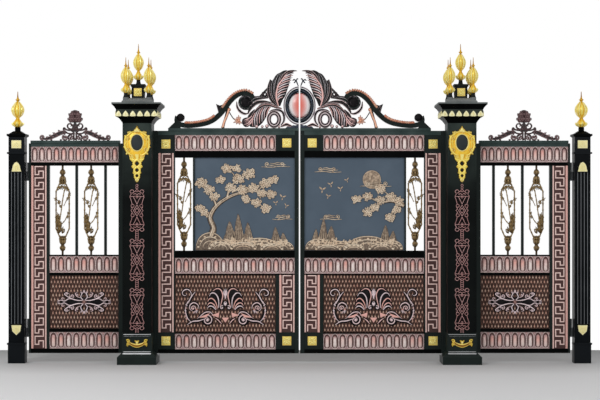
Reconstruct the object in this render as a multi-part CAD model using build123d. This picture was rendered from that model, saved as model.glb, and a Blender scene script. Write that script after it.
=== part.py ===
"""A cast and welded driveway gate: a pair of tall panelled leaves between two square gate posts,
with a narrower side gate and a slim end post on each side.

Millimetres. +Z is up, +X runs along the gate to the right as seen from the road, and the road side faces -Y.
Pieces are drawn on the left half, at their distance from the gate's centre line, and mirrored for the right.
They are then moved, so that the origin of the part is the middle of the left gate post's foot.
"""

import os
from math import cos, pi, sin

from build123d import *

# ---------------------------------------------------------------- driving dimensions
# gate posts
opening_width = 3064.0  # between the two gate posts
post_width = 300.0
post_wall = 6.0
foot_plate = 12.0
post_height = 2499.0
groove_offset = 18.0  # line scored beside each arris of the post
groove_width = 5.0
groove_depth = 2.0

# end posts
side_opening = 1040.0  # between a gate post and its end post
end_post_width = 165.0
end_post_wall = 16.0

# gaps that let the leaves move
hinge_gap = 30.0  # post face to hinge stile
centre_gap = 13.0  # between the two tall leaves
latch_gap = 21.0  # side gate's free stile to the gate post
trim_gap = 10.0  # post trim stops this far in front of the leaves
stop_width = 32.0  # stop strip that hides the hinge gap of a tall leaf
stop_depth = 14.0
seat = 0.3  # clearance where one curved casting sits against another

# what every leaf has
leaf_depth = 50.0
leaf_set_in = 15.0  # leaf's yard face in front of the posts' yard face
casting_depth = 32.0  # cast borders set in the frames
block_depth = 40.0  # black corner blocks
sheet_depth = 14.0  # panels set in the frames
key_width = 165.0
coping_depth = 66.0
ornament_depth = 9.0  # ornament laid on a panel

# tall leaf, from the bottom up
leaf_bottom = 96.0
bottom_rail = 42.0
foot_band = 163.0
lower_bead = 15.0
lattice_height = 605.0
upper_bead = 12.0
middle_band = 165.0
middle_rail = 76.0
picture_height = 977.0
upper_rail = 71.0
head_band = 166.0
top_rail = 45.0
coping = 27.0
block_drop = 23.0  # outer corner block hangs this far below the upper rail's top

# tall leaf, from the hinge edge
hinge_stile = 17.0
border_bar = 12.0
window_width = 188.0
mullion = 18.0
free_stile = 44.0
inner_bar = 34.0
coping_hinge_end = 123.0

# side gate, from the bottom up
side_bottom = 99.0
side_bottom_rail = 47.0
side_foot_band = 174.0
side_lower_rail = 34.0
side_lattice_height = 561.0
side_middle_rail = 28.0
side_middle_band = 174.0
side_sill = 14.0
side_window_height = 936.0
side_upper_rail = 35.0
side_head_band = 164.0
side_top_rail = 34.0
side_coping = 30.0

# side gate, from the hinge edge
side_hinge_stile = 22.0
side_inner_bar = 30.0
side_free_stile = 48.0
first_bar = 283.0
bar_pitch = 303.0
bar_width = 28.0
side_coping_hinge_end = 19.0
side_coping_free_end = 33.0

# gate post trim
plinth_half = 202.5
plinth_slab = 78.0
plinth_slope = 47.0
die_half = 155.0
die_height = 200.0
lower_cove = 66.0
lower_cove_half = 205.0
frieze_half = 212.0
frieze_height = 72.0
upper_cove = 50.0
cornice_half = 253.0
cornice_height = 21.0
cove_hollow = 0.3  # 0 is a straight splay, 1 a full quarter hollow
roof_half = 160.0
roof_edge = 16.0
roof_height = 56.0
roof_top_half = 84.0
pedestal_half = 65.0
pedestal_height = 122.0
lid_half = 75.0
lid_height = 24.0
neck_radius = 21.0
neck_foot_radius = 31.0
centre_neck = 46.0
corner_neck = 48.0
corner_offset = 119.0
petals_a_side = 6
petal_pitch = 74.0
petal_width = 60.0
petal_height = 62.0
petal_depth = 8.0

# end post trim
end_base_height = 195.0
end_base_overhang = 6.0
end_ring_height = 18.0
end_ring_overhang = 14.0
end_ring_levels = (195.0, 2186.0)
flute_bottom = 410.0
flute_top = 1994.0
flute_radius = 9.0
flutes = 4
end_post_height = 2363.0
end_rail_height = 31.0
end_rail_overhang = 17.0
end_roof_height = 32.0
end_neck_radius = 30.0
end_neck_height = 42.0

# hinges
knuckle_radius = 9.5
knuckle_length = 96.0
knuckle_play = 0.3  # between the two knuckles of a hinge, and round the pin
pin_radius = 5.0
lug_depth = 12.0
leaf_hinge_levels = (357.0, 2155.0)
side_hinge_levels = (362.0, 2005.0)

# finials
finial_radius = 52.0
centre_finial = 378.0
corner_finial = 370.0
end_finial_radius = 66.0
end_finial = 375.0

# gilt castings
gilt_depth = 12.0
cartouche_level = 2297.0
eye_half = (60.0, 82.0)
shell_half = (134.0, 132.0)
swag_level = 218.0
swag_half = 112.0
rosette_size = 94.0
rosette_depth = 10.0
pedestal_rosette = 82.0
plaque_width = 106.0
tablet_height = 83.0
tablet_level = 2286.0
bell_height = 101.0
bell_level = 2001.0
shield_height = 104.0
shield_level = 294.0

# trellis on the gate posts
motif_height = 440.0
motif_pitch = 510.0
motif_half = 70.0
motif_bottom = 354.0
motifs = 3
motif_shoulder = (52.5, 168.0)  # where a motif is widest: across, and above its middle
motif_heart = (28.0, 200.0)
motif_waist = 50.0
motif_side = (35.0, 42.0, 40.0)  # foot of the inner bar, foot of the outer bar, and its level
motif_ring = (47.6, 26.0, 22.0)  # across, above the middle, and radius
trellis_bar = 9.0
trellis_depth = 5.0

# bamboo balusters
baluster_half = 73.0
cane = 11.0
cane_depth = 16.0
baluster_end = 188.0  # turned stretch at each end
shoulder = 58.0

# crest of a tall leaf
scroll_depth = 40.0
foliage_depth = 28.0
scroll_bar = 52.0
scroll_tip = 26.0
orb_half = (171.0, 205.0)
orb_ring = 26.0
orb_ring_depth = 56.0
orb_bulge = 46.0
orb_level = 238.0  # orb's middle above the coping
orb_foot = 70.0  # half width of the foot it stands on
strut = 24.0

# crest of a side gate
side_crest_depth = 26.0
side_crest_height = 330.0
side_crest_half = 372.0
side_crest_shift = 12.0  # towards the end post from the middle of the side gate

# ---------------------------------------------------------------- places worked out from them
post_half = post_width / 2
post_x = opening_width / 2 + post_half
end_half = end_post_width / 2
end_x = post_x + post_half + side_opening + end_half
end_y = post_half - end_half  # yard faces of all four posts are flush
leaf_y = post_half - leaf_set_in - leaf_depth / 2
leaf_back = leaf_y + leaf_depth / 2
trim_back = leaf_y - leaf_depth / 2 - trim_gap

leaf_edge = opening_width / 2 - hinge_gap
leaf_free = centre_gap / 2
side_edge = end_x - end_half - hinge_gap
side_free = post_x + post_half + latch_gap
pin_y = leaf_back - knuckle_radius
leaf_pin = leaf_edge + hinge_gap / 2
side_pin = side_edge + hinge_gap / 2

frieze_bottom = post_height + lower_cove
cove_bottom = frieze_bottom + frieze_height
cornice_bottom = cove_bottom + upper_cove
cap_top = cornice_bottom + cornice_height
roof_top = cap_top + roof_height
lid_bottom = roof_top + pedestal_height
centre_base = lid_bottom + lid_height + centre_neck
corner_base = roof_top + corner_neck
end_cap_top = end_post_height + end_rail_height + end_roof_height + end_neck_height


def stack(bottom, *heights):
    """Levels reached by stacking the heights from the bottom."""
    levels = [bottom]
    for height in heights:
        levels.append(levels[-1] + height)
    return levels


# levels where the members of a leaf meet, from its bottom edge to its coping's top
(z_foot, z_foot_band, z_lower_bead, z_lattice, z_upper_bead, z_middle_band, z_middle_rail,
 z_picture, z_upper_rail, z_head_band, z_top_rail, z_coping, z_top) = stack(
    leaf_bottom, bottom_rail, foot_band, lower_bead, lattice_height, upper_bead, middle_band,
    middle_rail, picture_height, upper_rail, head_band, top_rail, coping)

(s_foot, s_foot_band, s_lower_rail, s_lattice, s_middle_rail, s_middle_band, s_sill,
 s_window, s_upper_rail, s_head_band, s_top_rail, s_coping, s_top) = stack(
    side_bottom, side_bottom_rail, side_foot_band, side_lower_rail, side_lattice_height,
    side_middle_rail, side_middle_band, side_sill, side_window_height, side_upper_rail,
    side_head_band, side_top_rail, side_coping)

# columns of a tall leaf, as distances from the gate's centre line
key_out = leaf_edge - hinge_stile
key_in = key_out - key_width
window_out = key_in - border_bar
window_in = window_out - window_width
picture_out = window_in - mullion
field_in = leaf_free + free_stile
inner_key_out = field_in + key_width
lattice_in = inner_key_out + inner_bar

# columns of a side gate
side_key_out = side_edge - side_hinge_stile
side_key_in = side_key_out - key_width
side_field_out = side_key_in - side_inner_bar
side_field_in = side_free + side_free_stile
side_bars = (side_field_out - first_bar, side_field_out - first_bar - bar_pitch)


# ---------------------------------------------------------------- helpers
def slab(x0, x1, y0, y1, z0, z1):
    """A box between two corners."""
    middle = Pos((x0 + x1) / 2, (y0 + y1) / 2, (z0 + z1) / 2)
    return middle * Box(abs(x1 - x0), abs(y1 - y0), abs(z1 - z0))


def member(inside, outside, z0, z1, depth=leaf_depth):
    """A flat piece of a left-hand leaf between two distances from the gate's centre line."""
    return slab(-outside, -inside, leaf_y - depth / 2, leaf_y + depth / 2, z0, z1)


def plate(face, depth, y=0.0):
    """A face in the XZ plane thickened by depth about the plane at y."""
    return Pos(0, y, 0) * extrude(face, amount=depth / 2, dir=(0, 1, 0), both=True)


def polygon(points):
    """A face in the XZ plane with straight sides between the points."""
    return make_face(Polyline(*[(px, 0, pz) for px, pz in points], close=True))


def smooth(points):
    """A face in the XZ plane with one smooth closed outline through the points."""
    return make_face(Spline(*[(px, 0, pz) for px, pz in points], periodic=True))


def ribbon(points, widths):
    """A curved strip in the XZ plane: a smooth centre line with a width at each of its points."""
    line = Spline(*[(px, 0, pz) for px, pz in points])
    one_side, other_side = [], []
    for n, width in enumerate(widths):
        at = n / (len(widths) - 1)
        along = line.tangent_at(at)
        across = Vector(-along.Z, 0, along.X) * (width / 2)
        one_side.append(line.position_at(at) + across)
        other_side.append(line.position_at(at) - across)
    first = Spline(*one_side)
    second = Spline(*reversed(other_side))
    return make_face([first, Line(first @ 1, second @ 0), second, Line(second @ 1, first @ 0)])


def strip(start, end, width):
    """A straight strip in the XZ plane, with its ends carried on by half its width."""
    run = Vector(end[0] - start[0], 0, end[1] - start[1])
    along = run.normalized() * (width / 2)
    across = Vector(-along.Z, 0, along.X)
    a, b = Vector(start[0], 0, start[1]) - along, Vector(end[0], 0, end[1]) + along
    return make_face(Polyline(a + across, b + across, b - across, a - across, close=True))


def disc(px, pz, radius, depth, y=0.0):
    """A round plate lying in the XZ plane."""
    return Pos(px, y, pz) * Rot(90, 0, 0) * Cylinder(radius, depth)


def ring(px, pz, radius, width, depth, y=0.0):
    """A round hoop lying in the XZ plane, with its outer radius and its bar's width."""
    return disc(px, pz, radius, depth, y) - disc(px, pz, radius - width, 2 * depth, y)


def oval(px, pz, half_width, half_height, depth, y=0.0):
    """An oval plate lying in the XZ plane."""
    return Pos(px, 0, pz) * plate(Plane.XZ * Ellipse(half_width, half_height), depth, y)


def cove(w0, z0, w1, z1, steps=5):
    """Points of a hollowed splay from one half width and level to another."""
    points = []
    for n in range(steps + 1):
        share = n / steps
        turn = pi / 2 * share
        out = share + cove_hollow * (1 - cos(turn) - share)
        up = share + cove_hollow * (sin(turn) - share)
        points.append((w0 + (w1 - w0) * out, z0 + (z1 - z0) * up))
    return points


def square_moulding(profile):
    """A square plan moulding: (half width, level) points from the bottom up, mitred round all four sides."""
    half = [(w, z) for w, z in profile]
    face = polygon(half + [(-w, z) for w, z in reversed(half)])
    along_y = extrude(face, amount=2 * max(w for w, _ in half), dir=(0, 1, 0), both=True)
    return along_y & (Rot(0, 0, 90) * along_y)


def spun(profile):
    """A solid turned about the Z axis from (radius, height) points joined by a smooth line."""
    line = Spline(*[(r, 0, z) for r, z in profile])
    bottom, top = line @ 0, line @ 1
    face = make_face([line, Line(top, (0, 0, top.Z)), Line((0, 0, top.Z), (0, 0, bottom.Z)),
                      Line((0, 0, bottom.Z), bottom)])
    return revolve(face, Axis.Z)


def turned(profile):
    """A solid turned about the Z axis from (radius, height) points joined by straight lines."""
    (_, bottom), (_, top) = profile[0], profile[-1]
    return revolve(polygon([(0, bottom)] + list(profile) + [(0, top)]), Axis.Z)


def mirrored(shape):
    """The same piece on the other side of the gate's centre line."""
    return mirror(shape, about=Plane.YZ)


def at_post(shape):
    """Moves a piece drawn about a post's own axis to the left gate post."""
    return Pos(-post_x, 0, 0) * shape


def at_end_post(shape):
    """Moves a piece drawn about a post's own axis to the left end post."""
    return Pos(-end_x, end_y, 0) * shape


def solids(*shapes):
    """One node out of pieces that don't touch."""
    return Compound([solid for shape in shapes for solid in shape.solids()])


def round_post(piece, count=4):
    """The piece on the road face of a post and turned on to its other faces."""
    return [Rot(0, 0, 360 / count * n) * piece for n in range(count)]


# ---------------------------------------------------------------- gate posts
def gate_post_shaft():
    """Square tube on a foot plate, with a line scored beside each arris."""
    shaft = slab(-post_half, post_half, -post_half, post_half, 0, post_height)
    core = post_half - post_wall
    shaft -= slab(-core, core, -core, core, foot_plate, post_height)
    offset_in = post_half - groove_offset
    die_top = plinth_slab + plinth_slope + die_height
    for side in (-1, 1):
        groove = slab(side * offset_in - groove_width / 2, side * offset_in + groove_width / 2, -post_half,
                      groove_depth - post_half, die_top, post_height)
        for face_groove in round_post(groove):
            shaft -= face_groove
    return at_post(shaft)


def gate_post_stop():
    """Strip on the post's side, in front of the leaf, that hides the hinge gap and stops the leaf."""
    return at_post(slab(post_half, post_half + stop_width, trim_back - stop_depth, trim_back, z_foot,
                        z_coping))


def gate_post_plinth():
    """Foot slab all round the post, and a sloped and panelled die round the front, clear of the leaves."""
    base = plinth_slab
    top = base + plinth_slope
    body = square_moulding([(plinth_half, base), (die_half, top), (die_half, top + die_height)])
    reach = 2 * plinth_half
    body &= slab(-reach, reach, -reach, trim_back, base, top + die_height)
    body += slab(-plinth_half, plinth_half, -plinth_half, plinth_half, 0, base)
    body -= slab(-post_half, post_half, -post_half, post_half, 0, top + die_height)
    return at_post(body) - gate_post_stop()


def gate_post_cap():
    """Flared cap: a hollow, the petalled frieze, a second hollow and the cornice."""
    profile = cove(post_half, post_height, lower_cove_half, frieze_bottom)
    profile += [(frieze_half, frieze_bottom), (frieze_half, cove_bottom)]
    profile += cove(frieze_half, cove_bottom, cornice_half, cornice_bottom)[1:]
    profile += [(cornice_half, cap_top)]
    return at_post(square_moulding(profile))


def neck(height):
    """Turned neck under a finial, standing on its spread foot."""
    return spun([(neck_foot_radius, 0), (neck_foot_radius * 0.82, height * 0.25),
                 (neck_radius, height * 0.6), (neck_radius, height)])


def gate_post_crown():
    """Low roof with a pedestal box in the middle and a neck for each finial."""
    rise = roof_height - roof_edge
    middle_half = (roof_half + roof_top_half) / 2 + roof_edge
    crown = square_moulding([(roof_half, cap_top), (roof_half, cap_top + roof_edge),
                             (middle_half, cap_top + roof_edge + rise * 0.6), (roof_top_half, roof_top)])
    crown += slab(-pedestal_half, pedestal_half, -pedestal_half, pedestal_half, roof_top, lid_bottom)
    crown += slab(-lid_half, lid_half, -lid_half, lid_half, lid_bottom, lid_bottom + lid_height)
    crown += Pos(0, 0, lid_bottom + lid_height) * neck(centre_neck)
    for sx in (-1, 1):
        for sy in (-1, 1):
            stem = Pos(0, 0, (cap_top + roof_top) / 2) * Cylinder(neck_foot_radius, roof_height)
            stem += Pos(0, 0, roof_top) * neck(corner_neck)
            crown += Pos(sx * corner_offset, sy * corner_offset, 0) * stem
    return at_post(crown)


# (share of the radius, share of the height)
finial_profile = [(0.40, 0.0), (0.62, 0.035), (0.88, 0.09), (0.76, 0.14), (0.46, 0.20), (0.30, 0.25),
                  (0.42, 0.29), (0.80, 0.37), (1.0, 0.478), (0.84, 0.58), (0.45, 0.67), (0.22, 0.715),
                  (0.26, 0.745), (0.44, 0.768), (0.24, 0.79), (0.12, 0.85), (0.05, 1.0)]


def finial(radius, height):
    """Turned finial: cup, waist, bulb, collar and spike."""
    return spun([(r * radius, z * height) for r, z in finial_profile])


def post_finials():
    """Gilt finials: five on a gate post and one on the end post beside it."""
    pieces = [at_post(Pos(0, 0, centre_base) * finial(finial_radius, centre_finial))]
    corner = finial(finial_radius, corner_finial)
    for sx in (-1, 1):
        for sy in (-1, 1):
            pieces.append(at_post(Pos(sx * corner_offset, sy * corner_offset, corner_base) * corner))
    pieces.append(at_end_post(Pos(0, 0, end_cap_top) * finial(end_finial_radius, end_finial)))
    return solids(*pieces)


def cap_petals():
    """Gilt pointed petals round the frieze of the cap."""
    half = petal_width / 2
    waist = petal_height * 0.45
    shape = polygon([(-half, 0), (half, 0), (half, waist), (0, petal_height), (-half, waist)])
    petal = plate(shape, petal_depth, -frieze_half - petal_depth / 2)
    pieces = []
    for n in range(petals_a_side):
        across = petal_pitch * (n - (petals_a_side - 1) / 2)
        pieces += round_post(Pos(across, 0, frieze_bottom) * petal)
    return at_post(solids(*pieces))


# ---------------------------------------------------------------- gilding and trellis of the posts
def cartouche():
    """Cartouche with an oval eye, a pointed crown and a pierced pendant, on the road face of the post."""
    y = -post_half - gilt_depth / 2
    wide, high = shell_half
    body = oval(0, 0, wide, high, gilt_depth, y)
    crown = polygon([(-wide * 0.6, high * 0.7), (0, high * 1.32), (wide * 0.6, high * 0.7)])
    body += plate(crown, gilt_depth, y)
    pendant = ((76, 26, -158), (0, 62, -212), (0, 48, -284), (0, 37, -342))
    for across, radius, level in pendant:
        body += disc(across, level, radius, gilt_depth, y)
        body += disc(-across, level, radius, gilt_depth, y)
    tail = polygon([(-70, -120), (70, -120), (30, -350), (0, -411), (-30, -350)])
    body += plate(tail, gilt_depth, y)
    for level, size in ((-216, 15), (-285, 13), (-343, 10)):
        hole = polygon([(-size, level), (0, level - size), (size, level), (0, level + size)])
        body -= plate(hole, 3 * gilt_depth, y)
    body -= oval(0, 0, *eye_half, 3 * gilt_depth, y)
    return Pos(0, 0, cartouche_level) * body


def swag():
    """Draped swag with a bow in the middle, on the die of the plinth."""
    end = swag_half - 18
    drape = ribbon([(-end, 24), (-58, -12), (0, -28), (58, -12), (end, 24)], [16, 26, 34, 26, 16])
    bow = polygon([(-24, 34), (24, 34), (10, -20), (-10, -20)])
    piece = plate(drape, gilt_depth) + plate(bow, gilt_depth)
    for side in (-1, 1):
        piece += disc(side * end, 20, 18, gilt_depth)
        tassel = polygon([(side * end - 9, 16), (side * end + 9, 16), (side * end + 9, -34),
                          (side * end - 9, -34)])
        piece += plate(tassel, gilt_depth)
    return Pos(0, -die_half - gilt_depth / 2, swag_level) * piece


def rosette(size, depth):
    """Square rosette as a low blunt pyramid, its back on the XZ plane and its face to the road."""
    top = Plane.XZ.offset(depth) * Rectangle(size * 0.5, size * 0.5)
    return loft([Plane.XZ * Rectangle(size, size), top])


def end_plaques():
    """Tablet, bell and shield on the road face of an end post."""
    half = plaque_width / 2
    y = -end_half - gilt_depth / 4
    depth = gilt_depth / 2
    tablet = [(-half, 0), (half, 0), (half, tablet_height), (-half, tablet_height)]
    bell = [(-half, 0), (half, 0), (half * 0.9, bell_height * 0.45),
            (half * 0.45, bell_height * 0.88), (0, bell_height),
            (-half * 0.45, bell_height * 0.88), (-half * 0.9, bell_height * 0.45)]
    shield = [(-half, shield_height), (half, shield_height), (half * 0.8, shield_height * 0.4),
              (0, 0), (-half * 0.8, shield_height * 0.4)]
    places = ((tablet, tablet_level - tablet_height / 2), (bell, bell_level),
              (shield, shield_level))
    return [Pos(0, 0, level) * plate(polygon(shape), depth, y) for shape, level in places]


def post_gilding():
    """Gilt castings of a gate post and of the end post beside it."""
    level = (roof_top + lid_bottom) / 2
    small = Pos(0, -pedestal_half, level) * rosette(pedestal_rosette, rosette_depth)
    pieces = [at_post(piece) for piece in round_post(cartouche(), 2) + round_post(small) + [swag()]]
    for plaque in end_plaques():
        pieces += [at_end_post(piece) for piece in round_post(plaque, 2)]
    return solids(*pieces)


def trellis():
    """Openwork trellis up the road face of the post: motifs of bars and rings on short links."""
    middle = motif_height / 2
    wide, tip = motif_shoulder
    lobe, heart = motif_heart
    inner, outer, side_level = motif_side
    ring_out, ring_up, ring_radius = motif_ring
    y = -post_half - trellis_depth / 2
    motif = None
    for up in (-1, 1):
        waist = (0, middle + up * motif_waist)
        for side in (-1, 1):
            shoulder_point = (side * wide, middle + up * tip)
            lobe_point = (side * lobe, middle + up * heart)
            bars = ((waist, shoulder_point), (shoulder_point, lobe_point),
                    (lobe_point, (0, middle + up * tip)), (waist, (side * inner, middle)),
                    (shoulder_point, (side * outer, middle + up * side_level)))
            for start, end in bars:
                bar = plate(strip(start, end, trellis_bar), trellis_depth, y)
                motif = bar if motif is None else motif + bar
            motif += ring(side * ring_out, middle + up * ring_up, ring_radius, trellis_bar,
                          trellis_depth, y)
    whole = Pos(0, 0, motif_bottom) * motif
    for n in range(1, motifs):
        whole += Pos(0, 0, motif_bottom + motif_pitch * n) * motif
    die_top = plinth_slab + plinth_slope + die_height
    run = motif_pitch - 2 * tip
    for n in range(motifs + 1):
        low = motif_bottom + middle + tip + motif_pitch * (n - 1)
        high = low + run if n < motifs else low + run / 2
        whole += slab(-trellis_bar / 2, trellis_bar / 2, y - trellis_depth / 2,
                      y + trellis_depth / 2, max(low, die_top), high)
    return whole


def post_trellises():
    """The trellis on the road face and the yard face of a gate post."""
    return at_post(solids(*round_post(trellis(), 2)))


# ---------------------------------------------------------------- end posts
def end_ring(overhang, z0, z1):
    """A collar round an end post that stops short of the leaf behind it."""
    reach = end_half + overhang
    collar = slab(-reach, reach, -reach, trim_back - end_y, z0, z1)
    return collar - slab(-end_half, end_half, -end_half, end_half, z0, z1)


def end_post_shaft():
    """Slim hollow post, fluted on its three open faces, with its base and two rings."""
    shaft = slab(-end_half, end_half, -end_half, end_half, 0, end_post_height)
    core = end_half - end_post_wall
    shaft -= slab(-core, core, -core, core, foot_plate, end_post_height)
    length = flute_top - flute_bottom
    pitch = end_post_width / (flutes + 1)
    for n in range(flutes):
        at = Pos(pitch * (n + 1) - end_half, -end_half, flute_bottom + length / 2)
        groove = at * Cylinder(flute_radius, length)
        shaft -= groove
        shaft -= Rot(0, 0, -90) * groove
        shaft -= Rot(0, 0, 180) * groove
    shaft += end_ring(end_base_overhang, 0, end_base_height)
    for level in end_ring_levels:
        shaft += end_ring(end_ring_overhang, level, level + end_ring_height)
    return at_end_post(shaft)


def end_post_cap():
    """Moulded rail, sloped roof and neck on top of the end post."""
    rail_top = end_post_height + end_rail_height
    roof = rail_top + end_roof_height
    rail_half = end_half + end_rail_overhang
    chamfer_top = end_post_height + end_rail_height * 0.4
    cap = square_moulding([(end_half, end_post_height), (rail_half, chamfer_top), (rail_half, rail_top),
                           (end_half, rail_top), (end_neck_radius + 8, roof)])
    cap += Pos(0, 0, roof + end_neck_height / 2) * Cylinder(end_neck_radius, end_neck_height)
    return at_end_post(cap)


# ---------------------------------------------------------------- hinges
def leaf_knuckles(pin, edge, levels):
    """Upper half of each hinge: a bored knuckle on a lug from the leaf's hinge stile."""
    pieces = []
    for level in levels:
        bottom, top = level + knuckle_play / 2, level + knuckle_play / 2 + knuckle_length
        middle = (bottom + top) / 2
        barrel = Pos(-pin, pin_y, middle) * Cylinder(knuckle_radius, knuckle_length)
        barrel += slab(-pin, -edge, leaf_back - lug_depth, leaf_back, bottom, top)
        bore = Pos(-pin, pin_y, middle) * Cylinder(pin_radius + knuckle_play, knuckle_length)
        pieces.append(barrel - bore)
    return solids(*pieces)


def hinge_pins():
    """Lower half of each hinge: a knuckle on a lug from the post, with the pin standing up out of it."""
    pieces = []
    for pin, levels in ((leaf_pin, leaf_hinge_levels), (side_pin, side_hinge_levels)):
        face = pin + hinge_gap / 2
        for level in levels:
            top = level - knuckle_play / 2
            bottom = top - knuckle_length
            pin_top = level + knuckle_play / 2 + knuckle_length
            piece = Pos(-pin, pin_y, (bottom + top) / 2) * Cylinder(knuckle_radius, knuckle_length)
            piece += slab(-face, -pin, leaf_back - lug_depth, leaf_back, bottom, top)
            rod = Cylinder(pin_radius, pin_top - bottom)
            piece += Pos(-pin, pin_y, (bottom + pin_top) / 2) * rod
            pieces.append(piece)
    return solids(*pieces)


# ---------------------------------------------------------------- tall leaf
def leaf_stiles():
    """Upright members of the tall leaf."""
    return solids(member(key_out, leaf_edge, z_foot, z_coping),
                  member(window_out, key_in, z_foot_band, z_top_rail),
                  member(picture_out, window_in, z_picture, z_upper_rail),
                  member(inner_key_out, lattice_in, z_foot_band, z_upper_bead),
                  member(inner_key_out, lattice_in, z_head_band, z_top_rail),
                  member(leaf_free, field_in, z_foot, z_coping))


def leaf_rails():
    """Level members of the tall leaf, the top one with its coping."""
    head = member(field_in, key_out, z_top_rail, z_coping)
    head += member(leaf_free, leaf_edge - coping_hinge_end, z_coping, z_top, coping_depth)
    return solids(member(field_in, key_out, z_foot, z_foot_band),
                  member(lattice_in, window_out, z_lower_bead, z_lattice),
                  member(field_in, window_out, z_upper_bead, z_middle_band),
                  member(field_in, window_out, z_middle_rail, z_picture),
                  member(field_in, window_out, z_upper_rail, z_head_band),
                  head)


def leaf_petal_bands():
    """Cast petal borders: at the foot, above the lattice and at the head."""
    return solids(member(lattice_in, window_out, z_foot_band, z_lower_bead, casting_depth),
                  member(field_in, window_out, z_middle_band, z_middle_rail, casting_depth),
                  member(lattice_in, window_out, z_head_band, z_top_rail, casting_depth))


def leaf_key_borders():
    """Cast key borders: the tall one by the hinge stile and the short one by the free stile."""
    return solids(member(key_in, key_out, z_lattice, z_head_band - block_drop, casting_depth),
                  member(field_in, inner_key_out, z_lattice, z_upper_bead, casting_depth))


corner_blocks = ((key_in, key_out, z_foot_band, z_lattice),
                 (key_in, key_out, z_head_band - block_drop, z_top_rail),
                 (field_in, inner_key_out, z_foot_band, z_lattice),
                 (field_in, inner_key_out, z_head_band, z_top_rail))


def leaf_blocks():
    """Plain blocks in the corners of the tall leaf."""
    return solids(*[member(*corner, block_depth) for corner in corner_blocks])


def leaf_rosettes():
    """Gilt rosettes on both faces of the corner blocks."""
    pieces = []
    for inside, outside, low, high in corner_blocks:
        front = Pos(0, -block_depth / 2, 0) * rosette(rosette_size, rosette_depth)
        at = Pos(-(inside + outside) / 2, leaf_y, (low + high) / 2)
        pieces += [at * piece for piece in round_post(front, 2)]
    return solids(*pieces)


def leaf_lattice():
    """Studded lower panel of the tall leaf."""
    return member(lattice_in, window_out, z_lattice, z_upper_bead, sheet_depth)


def leaf_relief():
    """Panel behind the relief in the upper field."""
    return member(field_in, picture_out, z_picture, z_upper_rail, sheet_depth)


# scroll ornament: (distance from its middle, height above its middle, width), for its right half
fan_scrolls = (
    ([(18, -150), (60, -60), (150, -20), (238, -48), (262, -120), (214, -166), (160, -140)],
     [16, 26, 30, 28, 24, 18, 10]),
    ([(60, -60), (140, 60), (250, 120), (352, 150), (400, 100), (362, 52), (316, 78)],
     [20, 30, 30, 28, 26, 20, 10]),
    ([(0, -120), (40, 20), (96, 110), (88, 176), (40, 182)],
     [24, 30, 30, 22, 10]),
    ([(238, -48), (316, -60), (380, -20), (424, 30)],
     [16, 26, 24, 8]),
)
fan_bud = [(0, 190), (28, 100), (20, 0), (0, -130), (-20, 0), (-28, 100)]

# side gate's ornament, for its right half
spray_scrolls = (
    ([(0, 0), (70, 62), (150, 66), (190, 16), (150, -22), (112, 4)], [20, 22, 22, 20, 16, 8]),
    ([(0, 0), (70, -62), (150, -66), (204, -10), (248, 0), (290, 0)], [20, 22, 22, 20, 16, 6]),
    ([(0, 40), (30, 90), (14, 128)], [22, 20, 6]),
    ([(0, -40), (30, -90), (14, -128)], [22, 20, 6]),
)
spray_bud = [(0, 40), (34, 0), (0, -40), (-34, 0)]


def ornament(scrolls, bud):
    """Scrolls and their mirror images round a bud, laid on both faces of a panel."""
    depth = ornament_depth
    shape = plate(smooth(bud), depth)
    for points, widths in scrolls:
        curl = plate(ribbon(points, widths), depth)
        shape += curl
        shape += mirror(curl, about=Plane.YZ)
    return round_post(Pos(0, -(sheet_depth + depth) / 2, 0) * shape, 2)


def leaf_ornaments():
    """Scroll ornament in the middle of the tall leaf's lattice."""
    at = Pos(-(lattice_in + window_out) / 2, leaf_y, (z_lattice + z_upper_bead) / 2)
    return solids(*[at * piece for piece in ornament(fan_scrolls, fan_bud)])


def baluster(across, bottom, top):
    """Bamboo baluster: turned ends and an open six-sided frame of canes with a leaning stem in it."""
    profile = [(9, 0), (9, 34), (24, 46), (12, 62), (26, 92), (12, 116), (30, 142), (16, 164),
               (20, baluster_end)]
    lower = turned(profile)
    height = top - bottom
    low, high = baluster_end - cane, height - baluster_end + cane
    outline = [(0, low), (baluster_half, low + shoulder), (baluster_half, high - shoulder), (0, high),
               (-baluster_half, high - shoulder), (-baluster_half, low + shoulder)]
    frame = strip(outline[-1], outline[0], cane)
    for start, end in zip(outline, outline[1:]):
        frame += strip(start, end, cane)
    reach = baluster_half * 0.8
    stems = (((-reach, low + shoulder), (reach, high - shoulder)),
             ((0, low), (-reach * 0.3, high)),
             ((-reach, low + shoulder * 2), (0, low)))
    for start, end in stems:
        frame += strip(start, end, cane)
    body = lower + plate(frame, cane_depth) + Pos(0, 0, height) * mirror(lower, about=Plane.XY)
    return Pos(-across, leaf_y, bottom) * body


def leaf_baluster():
    """Bamboo baluster in the narrow window of the tall leaf."""
    return baluster((window_in + window_out) / 2, z_picture, z_upper_rail)


# ---------------------------------------------------------------- crest of a tall leaf
# points are (distance from the gate's centre line, height above the coping)
scroll_line = [(1294, 128), (1296, 70), (1240, 38), (1150, 30), (1045, 41), (940, 70), (856, 128),
               (782, 212), (719, 296), (646, 354), (562, 372), (499, 338), (480, 280)]
scroll_eyes = ((1250, 112, 42), (566, 270, 78))
scroll_foot = ((1378, 0), (1296, 78), (1244, 0))
strut_top = (752, 212)
strut_foot = (806, 0)
upright_plume = [(206, 214), (270, 268), (322, 350), (336, 440), (312, 512), (262, 566), (196, 604),
                 (116, 618), (34, 602), (72, 556), (88, 500), (88, 430), (120, 330)]
low_plume = [(168, 200), (240, 262), (330, 300), (430, 300), (512, 246), (560, 170), (604, 84),
             (584, 24), (520, 4), (440, 10), (350, 8), (250, 4), (180, 20), (160, 100)]
link_leaf = [(290, 280), (306, 366), (350, 404), (384, 352), (450, 318), (470, 282)]
ring_eye = (268, 92, 22)
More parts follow.
